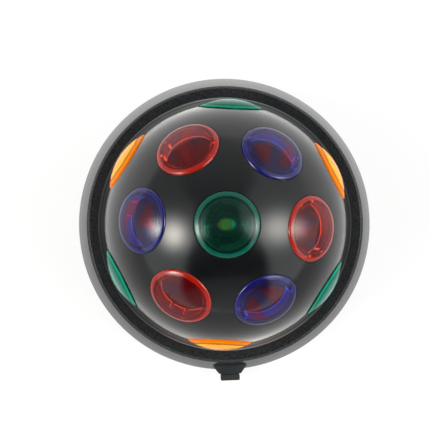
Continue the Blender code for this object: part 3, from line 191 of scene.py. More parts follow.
def filleted(profile, radii, steps=5):
    """A closed profile whose corners are rounded, each by its own radius."""
    out = []
    count = len(profile)
    for i, (corner, radius) in enumerate(zip(profile, radii)):
        here = Vector(corner)
        before = (Vector(profile[i - 1]) - here).normalized()
        after = (Vector(profile[(i + 1) % count]) - here).normalized()
        half = before.angle(after) / 2
        if not radius or half > math.pi / 2 - 0.01:
            out.append(tuple(here))
            continue
        centre = here + (before + after).normalized() * (radius / math.sin(half))
        reach = radius / math.tan(half)
        start, end = here + before * reach - centre, here + after * reach - centre
        for k in range(steps + 1):
            t = k / steps
            spoke = (start * (1 - t) + end * t).normalized() * radius
            out.append(tuple(centre + spoke))
    return out


def inset(profile, wall):
    """An open profile moved inwards by the wall, its corners kept sharp."""
    lines = []
    for (r0, z0), (r1, z1) in zip(profile, profile[1:]):
        along = Vector((r1 - r0, z1 - z0)).normalized()
        lines.append((Vector((r0, z0)) + Vector((along.y, -along.x)) * wall, along))
    corners = [lines[0][0]]
    for (p, d), (q, e) in zip(lines, lines[1:]):
        corners.append(p + d * ((q - p).cross(e) / d.cross(e)))
    last, along = lines[-1]
    corners.append(last + along * (Vector(profile[-1]) - Vector(profile[-2])).length)
    return [tuple(c) for c in corners]


# Materials


class Shader:
    """A material or world node tree with short calls for what this scene needs."""

    def __init__(self, tree):
        self.tree = tree
        tree.nodes.clear()

    def node(self, kind, **settings):
        """A new node with its settings."""
        made = self.tree.nodes.new(kind)
        for key, value in settings.items():
            setattr(made, key, value)
        return made

    def put(self, socket, value):
        """Feeds a socket from another one, or with a constant."""
        if isinstance(value, bpy.types.NodeSocket):
            self.tree.links.new(value, socket)
        else:
            socket.default_value = value

    def sums(self, operation, *values):
        """One step of arithmetic."""
        made = self.node("ShaderNodeMath", operation=operation)
        for socket, value in zip(made.inputs, values):
            self.put(socket, value)
        return made.outputs[0]

    def ramp(self, value, low, high, start=0.0, end=1.0, kind="SMOOTHSTEP"):
        """start below low and end above high, with a soft step between."""
        made = self.node("ShaderNodeMapRange", interpolation_type=kind)
        for socket, item in zip(made.inputs, (value, low, high, start, end)):
            self.put(socket, item)
        return made.outputs[0]

    def over(self, noise, start=0.0, end=1.0, kind="SMOOTHSTEP"):
        """start to end over the range that a noise mostly has."""
        return self.ramp(noise, 0.3, 0.7, start, end, kind)

    def blend(self, share, a, b):
        """A mix of two colours."""
        made = self.node("ShaderNodeMix", data_type="RGBA")
        self.put(made.inputs[0], share)
        self.put(made.inputs[6], a)
        self.put(made.inputs[7], b)
        return made.outputs[2]

    def mixed(self, share, a, b):
        """A mix of two shaders."""
        made = self.node("ShaderNodeMixShader")
        self.put(made.inputs[0], share)
        self.tree.links.new(a, made.inputs[1])
        self.tree.links.new(b, made.inputs[2])
        return made.outputs[0]

    def place(self):
        """The point in the object's own space, in metres."""
        return self.node("ShaderNodeTexCoord").outputs["Object"]

    def apart(self, vector):
        """A vector's three parts."""
        made = self.node("ShaderNodeSeparateXYZ")
        self.put(made.inputs[0], vector)
        return made.outputs

    def span(self, x, y):
        """The length of (x, y)."""
        squares = self.sums("ADD", self.sums("MULTIPLY", x, x), self.sums("MULTIPLY", y, y))
        return self.sums("SQRT", squares)

    def off(self, value, middle):
        """How far a value is from the middle, on either side."""
        return self.sums("ABSOLUTE", self.sums("SUBTRACT", value, middle))

    def noise(self, vector, scale, detail=2.0, rough=0.5):
        made = self.node("ShaderNodeTexNoise")
        self.put(made.inputs["Vector"], vector)
        made.inputs["Scale"].default_value = scale
        made.inputs["Detail"].default_value = detail
        made.inputs["Roughness"].default_value = rough
        return made.outputs["Fac"]

    def bump(self, height, distance, strength=1.0):
        made = self.node("ShaderNodeBump")
        self.put(made.inputs["Height"], height)
        self.put(made.inputs["Distance"], distance)
        self.put(made.inputs["Strength"], strength)
        return made.outputs["Normal"]

    def stretched(self, vector, scale):
        """A vector scaled on each axis, which draws out what is built on it."""
        made = self.node("ShaderNodeMapping")
        self.put(made.inputs["Vector"], vector)
        made.inputs["Scale"].default_value = scale
        return made.outputs[0]

    def principled(self, **inputs):
        """A Principled shader, its sockets named with underscores for spaces."""
        made = self.node("ShaderNodeBsdfPrincipled")
        for key, value in inputs.items():
            self.put(made.inputs[key.replace("_", " ")], value)
        return made.outputs[0]

    def finish(self, shader, kind="ShaderNodeOutputMaterial"):
        end = self.node(kind)
        self.tree.links.new(shader, end.inputs[0])


def material(name, colour, build):
    """A material whose nodes come from build, with a plain colour for the viewport."""
    made = bpy.data.materials.new(name)
    made.use_nodes = True
    made.diffuse_color = (*colour[:3], 1)
    build(Shader(made.node_tree))
    return made


BLACK = (0.0040, 0.0046, 0.0052, 1.0)


def dome_gloss(s):
    """Polished black moulding with a faint orange peel and fine crossed hairlines."""
    at = s.place()
    peel = s.noise(at, 260, 1.0)
    cloud = s.noise(at, 38, 3.0)
    hair = s.noise(s.stretched(at, (1.0, 0.12, 1.0)), 2600, 2.0, 0.7)
    cross = s.noise(s.stretched(at, (0.12, 1.0, 1.0)), 2200, 2.0, 0.7)
    lines = s.sums("ADD", hair, cross)
    rough = s.ramp(s.sums("ADD", cloud, s.sums("MULTIPLY", lines, 0.3)), 0.5, 1.15, 0.12, 0.2, "LINEAR")
    colour = s.blend(s.over(cloud), BLACK, (0.0058, 0.0064, 0.0070, 1))
    normal = s.bump(s.sums("ADD", peel, s.sums("MULTIPLY", lines, 0.3)), 0.000012, 0.6)
    s.finish(
        s.principled(
            Base_Color=colour,
            Roughness=rough,
            IOR=1.5,
            Sheen_Weight=1.0,
            Sheen_Roughness=0.25,
            Normal=normal,
        )
    )


def dome_inside(s):
    """The dome's inner face: pale matt moulding that takes the light let in by the lenses."""
    at = s.place()
    cloud, fine = s.noise(at, 50, 3.0), s.noise(at, 1300, 2.0)
    colour = s.blend(s.over(cloud), (0.24, 0.235, 0.23, 1), (0.3, 0.295, 0.29, 1))
    rough = s.over(fine, 0.4, 0.5, "LINEAR")
    s.finish(s.principled(Base_Color=colour, Roughness=rough, Normal=s.bump(fine, 0.00003, 0.5)))


def base_gloss(s):
    """The base's moulding: polished, with a very fine spark-eroded tooth."""
    at = s.place()
    cloud, grain = s.noise(at, 45, 3.0), s.noise(at, 1500, 3.0, 0.65)
    colour = s.blend(s.over(cloud), (0.012, 0.013, 0.014, 1), (0.017, 0.018, 0.019, 1))
    colour = s.blend(s.ramp(s.noise(at, 850, 2.0), 0.5, 0.68), colour, (0.042, 0.044, 0.046, 1))
    rough = s.ramp(s.sums("ADD", cloud, grain), 0.7, 1.3, 0.10, 0.19, "LINEAR")
    s.finish(s.principled(Base_Color=colour, Roughness=rough, IOR=1.52, Normal=s.bump(grain, 0.00003, 0.5)))


def base_band(s):
    """The matt band on the rim, with a coarse spark-eroded grain."""
    at = s.place()
    grain, coarse = s.noise(at, 2300, 3.0, 0.65), s.noise(at, 900, 2.0)
    texture = s.sums("ADD", grain, s.sums("MULTIPLY", coarse, 0.6))
    specks = s.sums("ADD", s.sums("MULTIPLY", grain, 0.3), s.sums("MULTIPLY", coarse, 1.3))
    speck = s.blend(s.ramp(specks, 0.62, 0.98), (0.003, 0.004, 0.006, 1), (0.019, 0.0205, 0.023, 1))
    rough = s.ramp(texture, 0.5, 1.1, 0.74, 0.6, "LINEAR")
    normal = s.bump(texture, 0.0001, 0.9)
    s.finish(s.principled(Base_Color=speck, Roughness=rough, Specular_IOR_Level=0.2, Normal=normal))


def base_slope(s):
    """The satin slope between the band and the dome, with a painted highlight along its outer edge and a fine
    dark line beside it.
    """
    at = s.place()
    x, y, _ = s.apart(at)
    radius = s.span(x, y)
    cloud, grain = s.noise(at, 45, 3.0), s.noise(at, 1700, 3.0, 0.6)
    colour = s.blend(s.over(cloud), (0.21, 0.213, 0.217, 1), (0.25, 0.253, 0.257, 1))
    line = s.ramp(s.off(radius, 78.6 * MM), 0.55 * MM, 0.2 * MM)
    colour = s.blend(s.sums("MULTIPLY", line, 0.6), colour, (0.05, 0.052, 0.055, 1))
    # Painted highlight: the slope is lighter where it meets the band
    colour = s.blend(s.ramp(radius, 79.0 * MM, 79.3 * MM), colour, (0.3, 0.305, 0.31, 1))
    rough = s.over(grain, 0.3, 0.4, "LINEAR")
    s.finish(s.principled(Base_Color=colour, Roughness=rough, IOR=1.52, Normal=s.bump(grain, 0.00003, 0.6)))


def plastic(dark, light, rough, grain=1500.0, depth=0.00004):
    """A moulded plastic with a fine grain and slow patches of colour."""

    def build(s):
        at = s.place()
        fine, cloud = s.noise(at, grain, 2.0), s.noise(at, 60, 3.0)
        colour = s.blend(s.over(cloud), (*dark, 1), (*light, 1))
        gloss = s.ramp(s.sums("ADD", fine, cloud), 0.7, 1.3, rough - 0.06, rough + 0.06, "LINEAR")
        s.finish(s.principled(Base_Color=colour, Roughness=gloss, Normal=s.bump(fine, depth, 0.6)))

    return build


def metal(dark, light, rough):
    """Turned or drawn metal with fine lines across it and slightly stained patches."""

    def build(s):
        at = s.place()
        lines = s.noise(s.stretched(at, (1.0, 1.0, 14.0)), 420, 4.0, 0.7)
        cloud = s.noise(at, 110, 3.0)
        colour = s.blend(s.over(cloud), (*dark, 1), (*light, 1))
        gloss = s.over(lines, rough - 0.07, rough + 0.09, "LINEAR")
        normal = s.bump(lines, 0.00002, 0.5)
        s.finish(s.principled(Base_Color=colour, Metallic=1.0, Roughness=gloss, Normal=normal))

    return build


def pass_light(s, glass, through):
    """Lets light for other surfaces go straight through a clear moulding."""
    clear = s.node("ShaderNodeBsdfTransparent")
    clear.inputs[0].default_value = through
    path = s.node("ShaderNodeLightPath")
    rays = s.sums("MAXIMUM", path.outputs["Is Shadow Ray"], path.outputs["Is Diffuse Ray"])
    s.finish(s.mixed(rays, glass, clear.outputs[0]))


def acrylic(cap, rim, line, glow, wall_glow, through, body, rim_body, ior, polish, painted_view=None):
    """Clear tinted acrylic, deeper in its bead, with a painted glow along its edges and slits for the light
    they catch.

    The cap, rim and line are colours, and the painted view is painted colour for other lenses
    and their light seen through this one. The line glows by glow, and the skirt's wall by its
    share of that. Through is what other light keeps of its colour, body and rim_body say how
    cloudy the cap and the rim are, and polish is the clear coat on the rim.
    """

    def build(s):
        at = s.place()
        x, y, z = s.apart(at)
        radius = s.span(x, y)
        wave, fine = s.noise(at, 90, 2.0), s.noise(at, 1400, 2.0)
        bead = s.ramp(radius, 17.2 * MM, 17.8 * MM)
        skirt = s.ramp(z, 0.2 * MM, -0.4 * MM)
        darker = (*(0.88 * c for c in cap[:3]), 1)
        inner = s.blend(s.over(wave), cap, darker)
        # Painted light: soft patches of colour for other lenses and their light, seen through this one
        if painted_view:
            broad = s.noise(s.stretched(at, (1.0, 1.7, 1.0)), 62, 1.5, 0.45)
            spread = s.sums("MULTIPLY", s.ramp(broad, 0.49, 0.58), s.ramp(radius, 14.5 * MM, 12.0 * MM))
            inner = s.blend(spread, inner, painted_view)
        colour = s.blend(s.sums("MAXIMUM", bead, skirt), inner, rim)
        share = s.sums("ADD", body, s.sums("MULTIPLY", bead, rim_body - body))
        share = s.sums("ADD", share, s.sums("MULTIPLY", skirt, 0.15))
        # Painted glow for the light these edges catch: the skirt's lip and the cheeks of its slits, on their
        # outer faces only
        lip = s.sums("MULTIPLY", s.ramp(z, -5.3 * MM, -5.7 * MM), s.ramp(radius, 16.3 * MM, 16.0 * MM))
        off = s.off(s.off(s.sums("ABSOLUTE", x), (TAB + SLIT) / 2 * MM), SLIT / 2 * MM)
        cheeks = s.sums("MULTIPLY", s.ramp(off, 0.2 * MM, 0.1 * MM), s.ramp(z, -1.0 * MM, -1.2 * MM))
        cheeks = s.sums("MULTIPLY", cheeks, 0.8)
        lines = s.sums("MAXIMUM", lip, s.sums("MAXIMUM", cheeks, s.sums("MULTIPLY", skirt, wall_glow)))
        outer = s.sums("SUBTRACT", 1.0, s.node("ShaderNodeNewGeometry").outputs["Backfacing"])
        lines = s.sums("MULTIPLY", lines, outer)
        rough = s.over(fine, 0.05, 0.08, "LINEAR")
        glass = s.principled(
            Base_Color=colour,
            Roughness=s.sums("SUBTRACT", rough, s.sums("MULTIPLY", bead, 0.035)),
            IOR=ior,
            Coat_Weight=s.sums("MULTIPLY", bead, polish),
            Coat_Roughness=0.02,
            Coat_IOR=1.7,
            Transmission_Weight=s.sums("SUBTRACT", 1.0, share),
            Emission_Color=line,
            Emission_Strength=s.sums("MULTIPLY", lines, glow),
            Normal=s.bump(s.sums("ADD", wave, s.sums("MULTIPLY", fine, 0.02)), 0.00006, 0.5),
        )
        pass_light(s, glass, through)

    return build


def edge_acrylic(stops, through, body, glow):
    """Tinted acrylic of a lens seen edge on, with the light and shade it shows painted in layers from flange
    to cap, and a faint painted glow.

    The stops are heights over the flange's underside in millimetres, each with its colour: bright bands for
    gathered light, dark bands, and a paler painted reflection towards the cap.
    """
    low, high = -1.0, 7.0

    def build(s):
        at = s.place()
        z = s.apart(at)[2]
        wave = s.noise(at, 90, 2.0)
        fine = s.noise(s.stretched(at, (0.15, 0.15, 1.0)), 1300, 2.0)
        level = s.sums("ADD", z, s.sums("MULTIPLY", s.sums("SUBTRACT", fine, 0.5), 0.9 * MM))
        made = s.node("ShaderNodeValToRGB")
        s.put(made.inputs[0], s.ramp(level, low * MM, high * MM, kind="LINEAR"))
        points = made.color_ramp.elements
        while len(points) < len(stops):
            points.new(1.0)
        for point, (height, colour) in zip(points, stops):
            point.position = (height - low) / (high - low)
            point.color = (*colour, 1)
        clear_share = s.ramp(z, 3.4 * MM, 5.6 * MM, 1.0 - body, 0.62)
        # Painted glow: the whole lens glows a little in its layered colour
        glass = s.principled(
            Base_Color=made.outputs[0],
            Roughness=s.over(fine, 0.03, 0.08, "LINEAR"),
            IOR=1.42,
            Specular_IOR_Level=0.03,
            Transmission_Weight=clear_share,
            Emission_Color=made.outputs[0],
            Emission_Strength=glow,
            Normal=s.bump(wave, 0.00006, 0.5),
        )
        pass_light(s, glass, through)

    return build


def emitter(s):
    """A black board and its emitters: lime with orange and teal beside it, and a soft painted glow on the
    board around them.
    """
    at = s.place()
    x, y, z = s.apart(at)
    orange, lime, teal = (1.0, 0.2, 0.02, 1), (1.0, 0.55, 0.07, 1), (0.02, 0.9, 0.75, 1)
    fine = s.noise(at, 2200, 2.0)
    mask = s.blend(s.over(fine), (0.010, 0.012, 0.013, 1), (0.018, 0.020, 0.021, 1))
    raised = s.ramp(z, 59.3 * MM, 59.6 * MM)
    x = s.sums("SUBTRACT", x, 0.5 * MM)
    narrow = s.sums("MULTIPLY", x, 0.62)
    far = s.span(narrow, y)
    # Painted glow: the board itself glows around the emitters
    wide_halo = s.ramp(far, 9 * MM, 3 * MM, 0.0, 0.05)
    halo = s.sums("ADD", wide_halo, s.ramp(far, 4.6 * MM, 3.6 * MM, 0.0, 0.4))
    shade = s.blend(s.ramp(x, -5.4 * MM, -3.4 * MM), orange, lime)
    shade = s.blend(s.ramp(x, 3.4 * MM, 4.6 * MM), shade, teal)
    s.finish(
        s.principled(
            Base_Color=s.blend(raised, mask, shade),
            Roughness=s.over(fine, 0.3, 0.4),
            Emission_Color=shade,
            Emission_Strength=s.sums("MAXIMUM", s.sums("MULTIPLY", raised, 0.5), halo),
        )
    )


def windings(s):
    """Copper windings, seen as fine ridges round the choke, with painted shade darkening the grooves between
    turns.
    """
    at = s.place()
    wave = s.node("ShaderNodeTexWave", bands_direction="X")
    s.put(wave.inputs["Vector"], at)
    wave.inputs["Scale"].default_value = 620
    wave.inputs["Distortion"].default_value = 0.6
    ridges = wave.outputs["Fac"]
    # Painted shade: darker copper in the grooves between turns
    colour = s.blend(ridges, (0.28, 0.09, 0.03, 1), (0.72, 0.33, 0.14, 1))
    rough = s.ramp(ridges, 0, 1, 0.4, 0.26)
    normal = s.bump(ridges, 0.0002, 0.8)
    s.finish(s.principled(Base_Color=colour, Metallic=0.6, Roughness=rough, Normal=normal))


def board(s):
    """A green circuit board with a faint weave and darker tracks under its mask."""
    at = s.place()
    tracks = s.node("ShaderNodeTexVoronoi", feature="DISTANCE_TO_EDGE")
    s.put(tracks.inputs["Vector"], at)
    tracks.inputs["Scale"].default_value = 190
    line = s.ramp(tracks.outputs["Distance"], 0.05, 0.09)
    weave = s.noise(at, 1900, 1.0)
    colour = s.blend(line, (0.05, 0.24, 0.10, 1), (0.02, 0.12, 0.05, 1))
    rough = s.over(weave, 0.25, 0.38)
    normal = s.bump(s.sums("ADD", line, s.sums("MULTIPLY", weave, 0.2)), 0.00003, 0.6)
    s.finish(s.principled(Base_Color=colour, Roughness=rough, Normal=normal))


# Each look's plain colour and what builds its nodes.
RECIPES = {
    "dome_gloss": (BLACK, dome_gloss),
    "dome_inside": ((0.55, 0.54, 0.52), dome_inside),
    "base_gloss": (BLACK, base_gloss),
    "base_band": (BLACK, base_band),
    "base_slope": ((0.1, 0.1, 0.1), base_slope),
    "base_block": ((0.022, 0.026, 0.03), plastic((0.014, 0.018, 0.021), (0.019, 0.024, 0.027), 0.42)),
    "satin_black": ((0.03, 0.03, 0.032), plastic((0.022, 0.022, 0.024), (0.03, 0.03, 0.032), 0.5)),
    "rubber": (
        (0.02, 0.02, 0.021),
        plastic((0.012, 0.0125, 0.0135), (0.018, 0.0185, 0.02), 0.78, grain=900.0, depth=0.00009),
    ),
    "lens_red": (
        (0.62, 0.03, 0.05),
        acrylic(
            cap=(0.72, 0.028, 0.045, 1),
            rim=(0.74, 0.026, 0.009, 1),
            line=(0.9, 1.3, 0.2, 1),
            glow=2.4,
            wall_glow=0.05,
            through=(0.6, 0.08, 0.09, 1),
            body=0.05,
            rim_body=0.34,
            ior=1.42,
            polish=0.3,
            painted_view=(0.48, 0.045, 0.17, 1),
        ),
    ),
    "lens_blue": (
        (0.03, 0.05, 0.55),
        acrylic(
            cap=(0.17, 0.11, 0.42, 1),
            rim=(0.02, 0.02, 0.28, 1),
            line=(0.17, 0.3, 1.0, 1),
            glow=2.4,
            wall_glow=0.12,
            through=(0.4, 0.2, 0.62, 1),
            body=0.06,
            rim_body=0.3,
            ior=1.42,
            polish=0.3,
            painted_view=(0.62, 0.025, 0.11, 1),
        ),
    ),
    "lens_green": (
        (0.0, 0.26, 0.16),
        acrylic(
            cap=(0.05, 0.36, 0.27, 1),
            rim=(0.0, 0.16, 0.115, 1),
            line=(0.0, 0.8, 0.5, 1),
            glow=0.3,
            wall_glow=0.0,
            through=(0.08, 0.6, 0.4, 1),
            body=0.03,
            rim_body=0.5,
            ior=1.36,
            polish=0.1,
        ),
    ),
    # The green of the rim lenses is a copy of lens_green with the light it takes edge on painted in
    "lens_green_rim": (
        (0.0, 0.26, 0.16),
        edge_acrylic(
            [
                # From the flange up: painted shadow in the gap beside the dome, bright painted bands of
                # gathered light, and a pale painted reflection near the cap
                (0.2, (0.0, 0.012, 0.01)),
                (0.7, (0.0, 0.05, 0.035)),
                (1.1, (0.0, 0.26, 0.15)),
                (1.7, (0.0, 0.28, 0.17)),
                (2.4, (0.0, 0.08, 0.06)),
                (3.1, (0.01, 0.14, 0.11)),
                (4.2, (0.03, 0.2, 0.15)),
                (6.3, (0.16, 0.5, 0.4)),
            ],
            through=(0.08, 0.6, 0.4, 1),
            body=0.92,
            glow=0.1,
        ),
    ),
    "lens_amber": (
        (0.85, 0.3, 0.01),
        edge_acrylic(
            [
                # From the flange up: bright painted bands of gathered light, a dark band, and a paler painted
                # reflection near the cap
                (0.3, (0.64, 0.11, 0.0)),
                (1.2, (0.68, 0.16, 0.0)),
                (1.8, (0.68, 0.2, 0.0)),
                (2.4, (0.55, 0.15, 0.0)),
                (2.9, (0.3, 0.07, 0.0)),
                (3.4, (0.92, 0.4, 0.0)),
                (4.0, (0.85, 0.40, 0.0)),
                (5.2, (0.88, 0.40, 0.03)),
                (6.3, (0.92, 0.46, 0.12)),
            ],
            through=(0.95, 0.5, 0.05, 1),
            body=0.96,
            glow=0.3,
        ),
    ),
    "steel": ((0.45, 0.46, 0.48), metal((0.42, 0.43, 0.45), (0.52, 0.53, 0.55), 0.3)),
    "motor_steel": ((0.5, 0.51, 0.52), metal((0.45, 0.46, 0.47), (0.55, 0.56, 0.57), 0.26)),
    "aluminium": ((0.6, 0.61, 0.62), metal((0.3, 0.3, 0.31), (0.38, 0.38, 0.39), 0.42)),
    "nylon": ((0.8, 0.79, 0.74), plastic((0.70, 0.69, 0.64), (0.8, 0.79, 0.74), 0.45)),
    "nylon_smoked": ((0.26, 0.25, 0.24), plastic((0.2, 0.195, 0.19), (0.26, 0.25, 0.24), 0.45)),
    "brass": ((0.72, 0.52, 0.22), metal((0.62, 0.44, 0.18), (0.75, 0.55, 0.24), 0.25)),
    "led_board": ((0.05, 0.05, 0.055), emitter),
    "circuit_board": ((0.03, 0.16, 0.07), board),
    "choke": ((0.65, 0.28, 0.12), windings),
    "sleeve": ((0.05, 0.05, 0.22), plastic((0.03, 0.03, 0.16), (0.05, 0.05, 0.22), 0.3)),
    "terminal": ((0.03, 0.2, 0.1), plastic((0.02, 0.16, 0.08), (0.03, 0.2, 0.1), 0.42)),
    "lead_red": ((0.45, 0.02, 0.02), plastic((0.38, 0.015, 0.015), (0.45, 0.02, 0.02), 0.45)),
    "lead_white": ((0.72, 0.71, 0.68), plastic((0.64, 0.63, 0.6), (0.72, 0.71, 0.68), 0.45)),
}
LOOKS = {name: material(name, colour, build) for name, (colour, build) in RECIPES.items()}


def zoned(piece, looks, choose):
    """Gives each face one of several looks. The choice gets its centre and normal, and returns a number."""
    piece.data.materials.clear()
    for look in looks:
        piece.data.materials.append(LOOKS[look])
    for face in piece.data.polygons:
        face.material_index = choose(face.center / MM, face.normal)


def dress(piece, look, body, *replaced, slot=None):
    """Gives a finished piece its material, its body and the nodes that it stands for."""
    if len(piece.data.materials) < 2:
        piece.data.materials.clear()
        piece.data.materials.append(LOOKS[look])
    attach(piece, body)
    if replaced:
        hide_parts(*replaced)


# The dome


def lens_profile():
    """Half a lens, its flange's underside at zero: domed cap, rounded edge, flange and thin skirt."""
    centre = FLANGE + CAP_BULGE - CAP_BEND
    bore = SKIRT_R - SKIRT_WALL
    inner = CAP_BEND - CAP_WALL
    edge = math.asin(19.1 / CAP_BEND)
    rounding = arc(0, centre, CAP_BEND - BEAD, edge, edge, 1)[0]
    points = arc(0, centre, CAP_BEND, 0, edge, 32)
    points += arc(*rounding, BEAD, edge, math.radians(80), 10)[1:]
    points += [(FLANGE_R - 0.05, 0)]
    points += arc(SKIRT_R + 0.25, -0.25, 0.25, 0, math.radians(-90), 4)
    points += [(SKIRT_R, 0.25 - SKIRT_DEPTH), (SKIRT_R - 0.25, -SKIRT_DEPTH)]
    points += [(bore + 0.15, -SKIRT_DEPTH), (bore, 0.15 - SKIRT_DEPTH)]
    top = centre + math.sqrt(inner**2 - (bore - 0.9) ** 2)
    points += [(bore, top - 1.0), (bore - 0.12, top - 0.5), (bore - 0.42, top - 0.15)]
    points += arc(0, centre, inner, math.asin((bore - 0.9) / inner), 0, 24)
    return points


def lens_mesh():
    """One lens, its skirt slit on both sides into snap tabs with barbs."""
    lens = turned("lens_blank", lens_profile(), 112)
    bm = bmesh.new()
    for side in (-1, 1):
        x = side * (TAB + SLIT) / 2
        reach = SKIRT_R + 2
        block(bm, (x - SLIT / 2, -reach, -SKIRT_DEPTH - 2), (x + SLIT / 2, reach, -1.2))
    cut(lens, solid("slits", bm))
    bm = bmesh.new()
    barb, height = 0.9, 2.8
    top = math.sqrt(DOME_BORE**2 - (SKIRT_R + barb) ** 2) - LENS_SEAT - 0.9
    for side in (-1, 1):
        near, far = side * (SKIRT_R - SKIRT_WALL / 2), side * (SKIRT_R + barb)
        made = block(bm, (-2, min(near, far), top - height), (2, max(near, far), top))
        for v in made:
            if v.co.z < (top - height / 2) * MM and abs(v.co.y) > (SKIRT_R + 0.1) * MM:
                v.co.y = side * (SKIRT_R - SKIRT_WALL / 4) * MM
    cut(lens, solid("barbs", bm), "UNION")
    mesh = lens.data
    bpy.data.objects.remove(lens, do_unlink=True)
    smooth(mesh, 32)
    cap_normals(mesh)
    return mesh


def cap_normals(mesh):
    """The middle of the cap reflects as a flatter one does, and its edge as it is shaped."""
    flat_bend, inner, outer = 50.0, 15.5, 19.0
    centre = Vector((0, 0, (FLANGE + CAP_BULGE - CAP_BEND) * MM))
    normals = [tuple(n.vector) for n in mesh.corner_normals]
    for loop in mesh.loops:
        point = mesh.vertices[loop.vertex_index].co
        radius = math.hypot(point.x, point.y) / MM
        if point.z < MM or radius > outer or abs((point - centre).length / MM - CAP_BEND) > 0.02:
            continue
        step = min(max((radius - inner) / (outer - inner), 0), 1)
        bend = flat_bend + (CAP_BEND - flat_bend) * step * step * (3 - 2 * step)
        flat = Vector((point.x, point.y, 0)) / MM / bend
        flat.z = math.sqrt(1 - flat.length_squared)
        normals[loop.index] = tuple(flat)
    mesh.normals_split_custom_set(normals)


# How far some lenses are turned about their own axes, in degrees, as their slits show.
OWN_TURNS = {
    "lens_green_top": 54.3,
    "lens_red_1": -72,
    "lens_red_2": 54,
    "lens_red_3": 13,
    "lens_blue_1": -77,
    "lens_blue_2": -31,
    "lens_blue_3": -86,
}


def lens_places():
    """Each lens node's look, its tilt and turn about the dome's centre and its turn about its own axis."""
    places = [("lens_green_top", "lens_green", 0, 0)]
    for i in range(3):
        turn = TAU * i / 3
        middle, outer = math.radians(45), math.radians(86.6)
        places.append((f"lens_red_{i + 1}", "lens_red", middle, turn))
        places.append((f"lens_blue_{i + 1}", "lens_blue", middle, turn + TAU / 6))
        places.append((f"lens_amber_{i + 1}", "lens_amber", outer, turn + TAU / 12))
        places.append((f"lens_green_{i + 1}", "lens_green_rim", outer, turn + TAU / 4))
    return [(*place, math.radians(OWN_TURNS.get(place[0], 0))) for place in places]


def lens_matrix(polar, turn, own_turn, distance):
    """A lens's frame: Z out along its axis and Y down the dome before its own turn, with the dome at rest."""
    tilt = Matrix.Rotation(turn + DOME_TURN, 4, "Z") @ Matrix.Rotation(polar, 4, "Y")
    tilt = tilt @ Matrix.Rotation(own_turn - math.pi / 2, 4, "Z")
    return Matrix.Translation((0, 0, DOME_CENTRE * MM)) @ tilt @ Matrix.Translation((0, 0, distance * MM))


def make_lenses():
    """The thirteen lenses, those of one look on one mesh."""
    master = lens_mesh()
    meshes = {}
    for name, look, *turns in lens_places():
        if look not in meshes:
            meshes[look] = master.copy()
            meshes[look].name = f"{look}_shape"
        piece = link(name.replace("lens", "clear"), meshes[look])
        piece.matrix_world = lens_matrix(*turns, LENS_SEAT + LENS_LIFT)
        dress(piece, look, "dome", name, slot=look.replace("_rim", ""))


def make_dome():
    """The half-ball, with stepped and chamfered pockets and the screw lugs inside."""
    low_out, low_in = math.acos(-DOME_DROP / DOME_R), math.acos(-DOME_DROP / DOME_BORE)
    outer = arc(0, DOME_CENTRE, DOME_R, 0, low_out - math.radians(0.5), 90)
    inner = arc(0, DOME_CENTRE, DOME_BORE, low_in - math.radians(0.5), 0, 44)
    edge = DOME_CENTRE - DOME_DROP
    lip_out, lip_in = DOME_R * math.sin(low_out), DOME_BORE * math.sin(low_in)
    lip = [(lip_out - 0.15, edge + 0.12), (lip_out - 0.5, edge)]
    lip += [(lip_in + 0.5, edge), (lip_in + 0.2, edge + 0.12)]
    dome = turned("dome_skin", outer + lip + inner, 240)
    surface = math.sqrt(DOME_R**2 - POCKET_R**2) - LENS_SEAT
    cutter = [
        (0, 8),
        (POCKET_R + 8 + 0.45 - surface, 8),
        (POCKET_R, surface - 0.18),
        (POCKET_R, 0),
        (HOLE_R, 0),
        (HOLE_R, -SKIRT_DEPTH - 2),
        (0, -SKIRT_DEPTH - 2),
    ]
    one = turned("pocket", cutter, 112)
    master = one.data
    bpy.data.objects.remove(one, do_unlink=True)
    for _, _, *turns in lens_places():
        tool = link("pocket", master.copy())
        tool.matrix_world = lens_matrix(*turns, LENS_SEAT)
        cut(dome, tool)
    add_lugs(dome)
    middle = Vector((0, 0, DOME_CENTRE))
    zoned(dome, ("dome_gloss", "dome_inside"), lambda c, n: int((c - middle).length < DOME_BORE + 0.05))
    radial_normals(dome.data)
    dress(dome, "dome_gloss", "dome", "dome_shell")


def add_lugs(dome):
    """Three bored lugs inside the dome, kept within the middle of its wall."""
    bm = bmesh.new()
    place, depth = LUG_FACE - 6.8 / 2, 9.0
    for i in range(3):
        made = block(bm, (place - depth / 2, -LUG_HALF, LUG_LOW), (DOME_R, LUG_HALF, LUG_HIGH))
        spin = Matrix.Rotation(TAU * i / 3 + DOME_TURN, 4, "Z")
        bmesh.ops.transform(bm, matrix=spin, verts=made)
    lugs = solid("lugs", bm)
    bm = bmesh.new()
    centre = Matrix.Translation((0, 0, DOME_CENTRE * MM))
    radius = (DOME_R - 1.25) * MM
    bmesh.ops.create_uvsphere(bm, u_segments=96, v_segments=48, radius=radius, matrix=centre)
    cut(lugs, solid("limit", bm), "INTERSECT")
    cut(dome, lugs, "UNION")
    bm = bmesh.new()
    for at in around(place, 3, DOME_TURN):
        rod(bm, SCREW_BORE, LUG_LOW - 2, LUG_LOW + 4.3, at, 24)
    cut(dome, solid("bores", bm))


def radial_normals(mesh):
    """The outer skin takes the ball's own normals, so that its reflections run clean round each pocket."""
    smooth(mesh, 30)
    centre = Vector((0, 0, DOME_CENTRE * MM))
    near = 0.02 * MM
    outside = [abs((v.co - centre).length - DOME_R * MM) < near for v in mesh.vertices]
    normals = [tuple(n.vector) for n in mesh.corner_normals]
    for face in mesh.polygons:
        if not all(outside[i] for i in face.vertices):
            continue
        if face.normal.dot((face.center - centre).normalized()) < 0.9:
            continue
        for corner in face.loop_indices:
            point = mesh.vertices[mesh.loops[corner].vertex_index].co
            normals[corner] = tuple((point - centre).normalized())
    mesh.normals_split_custom_set(normals)


# The base


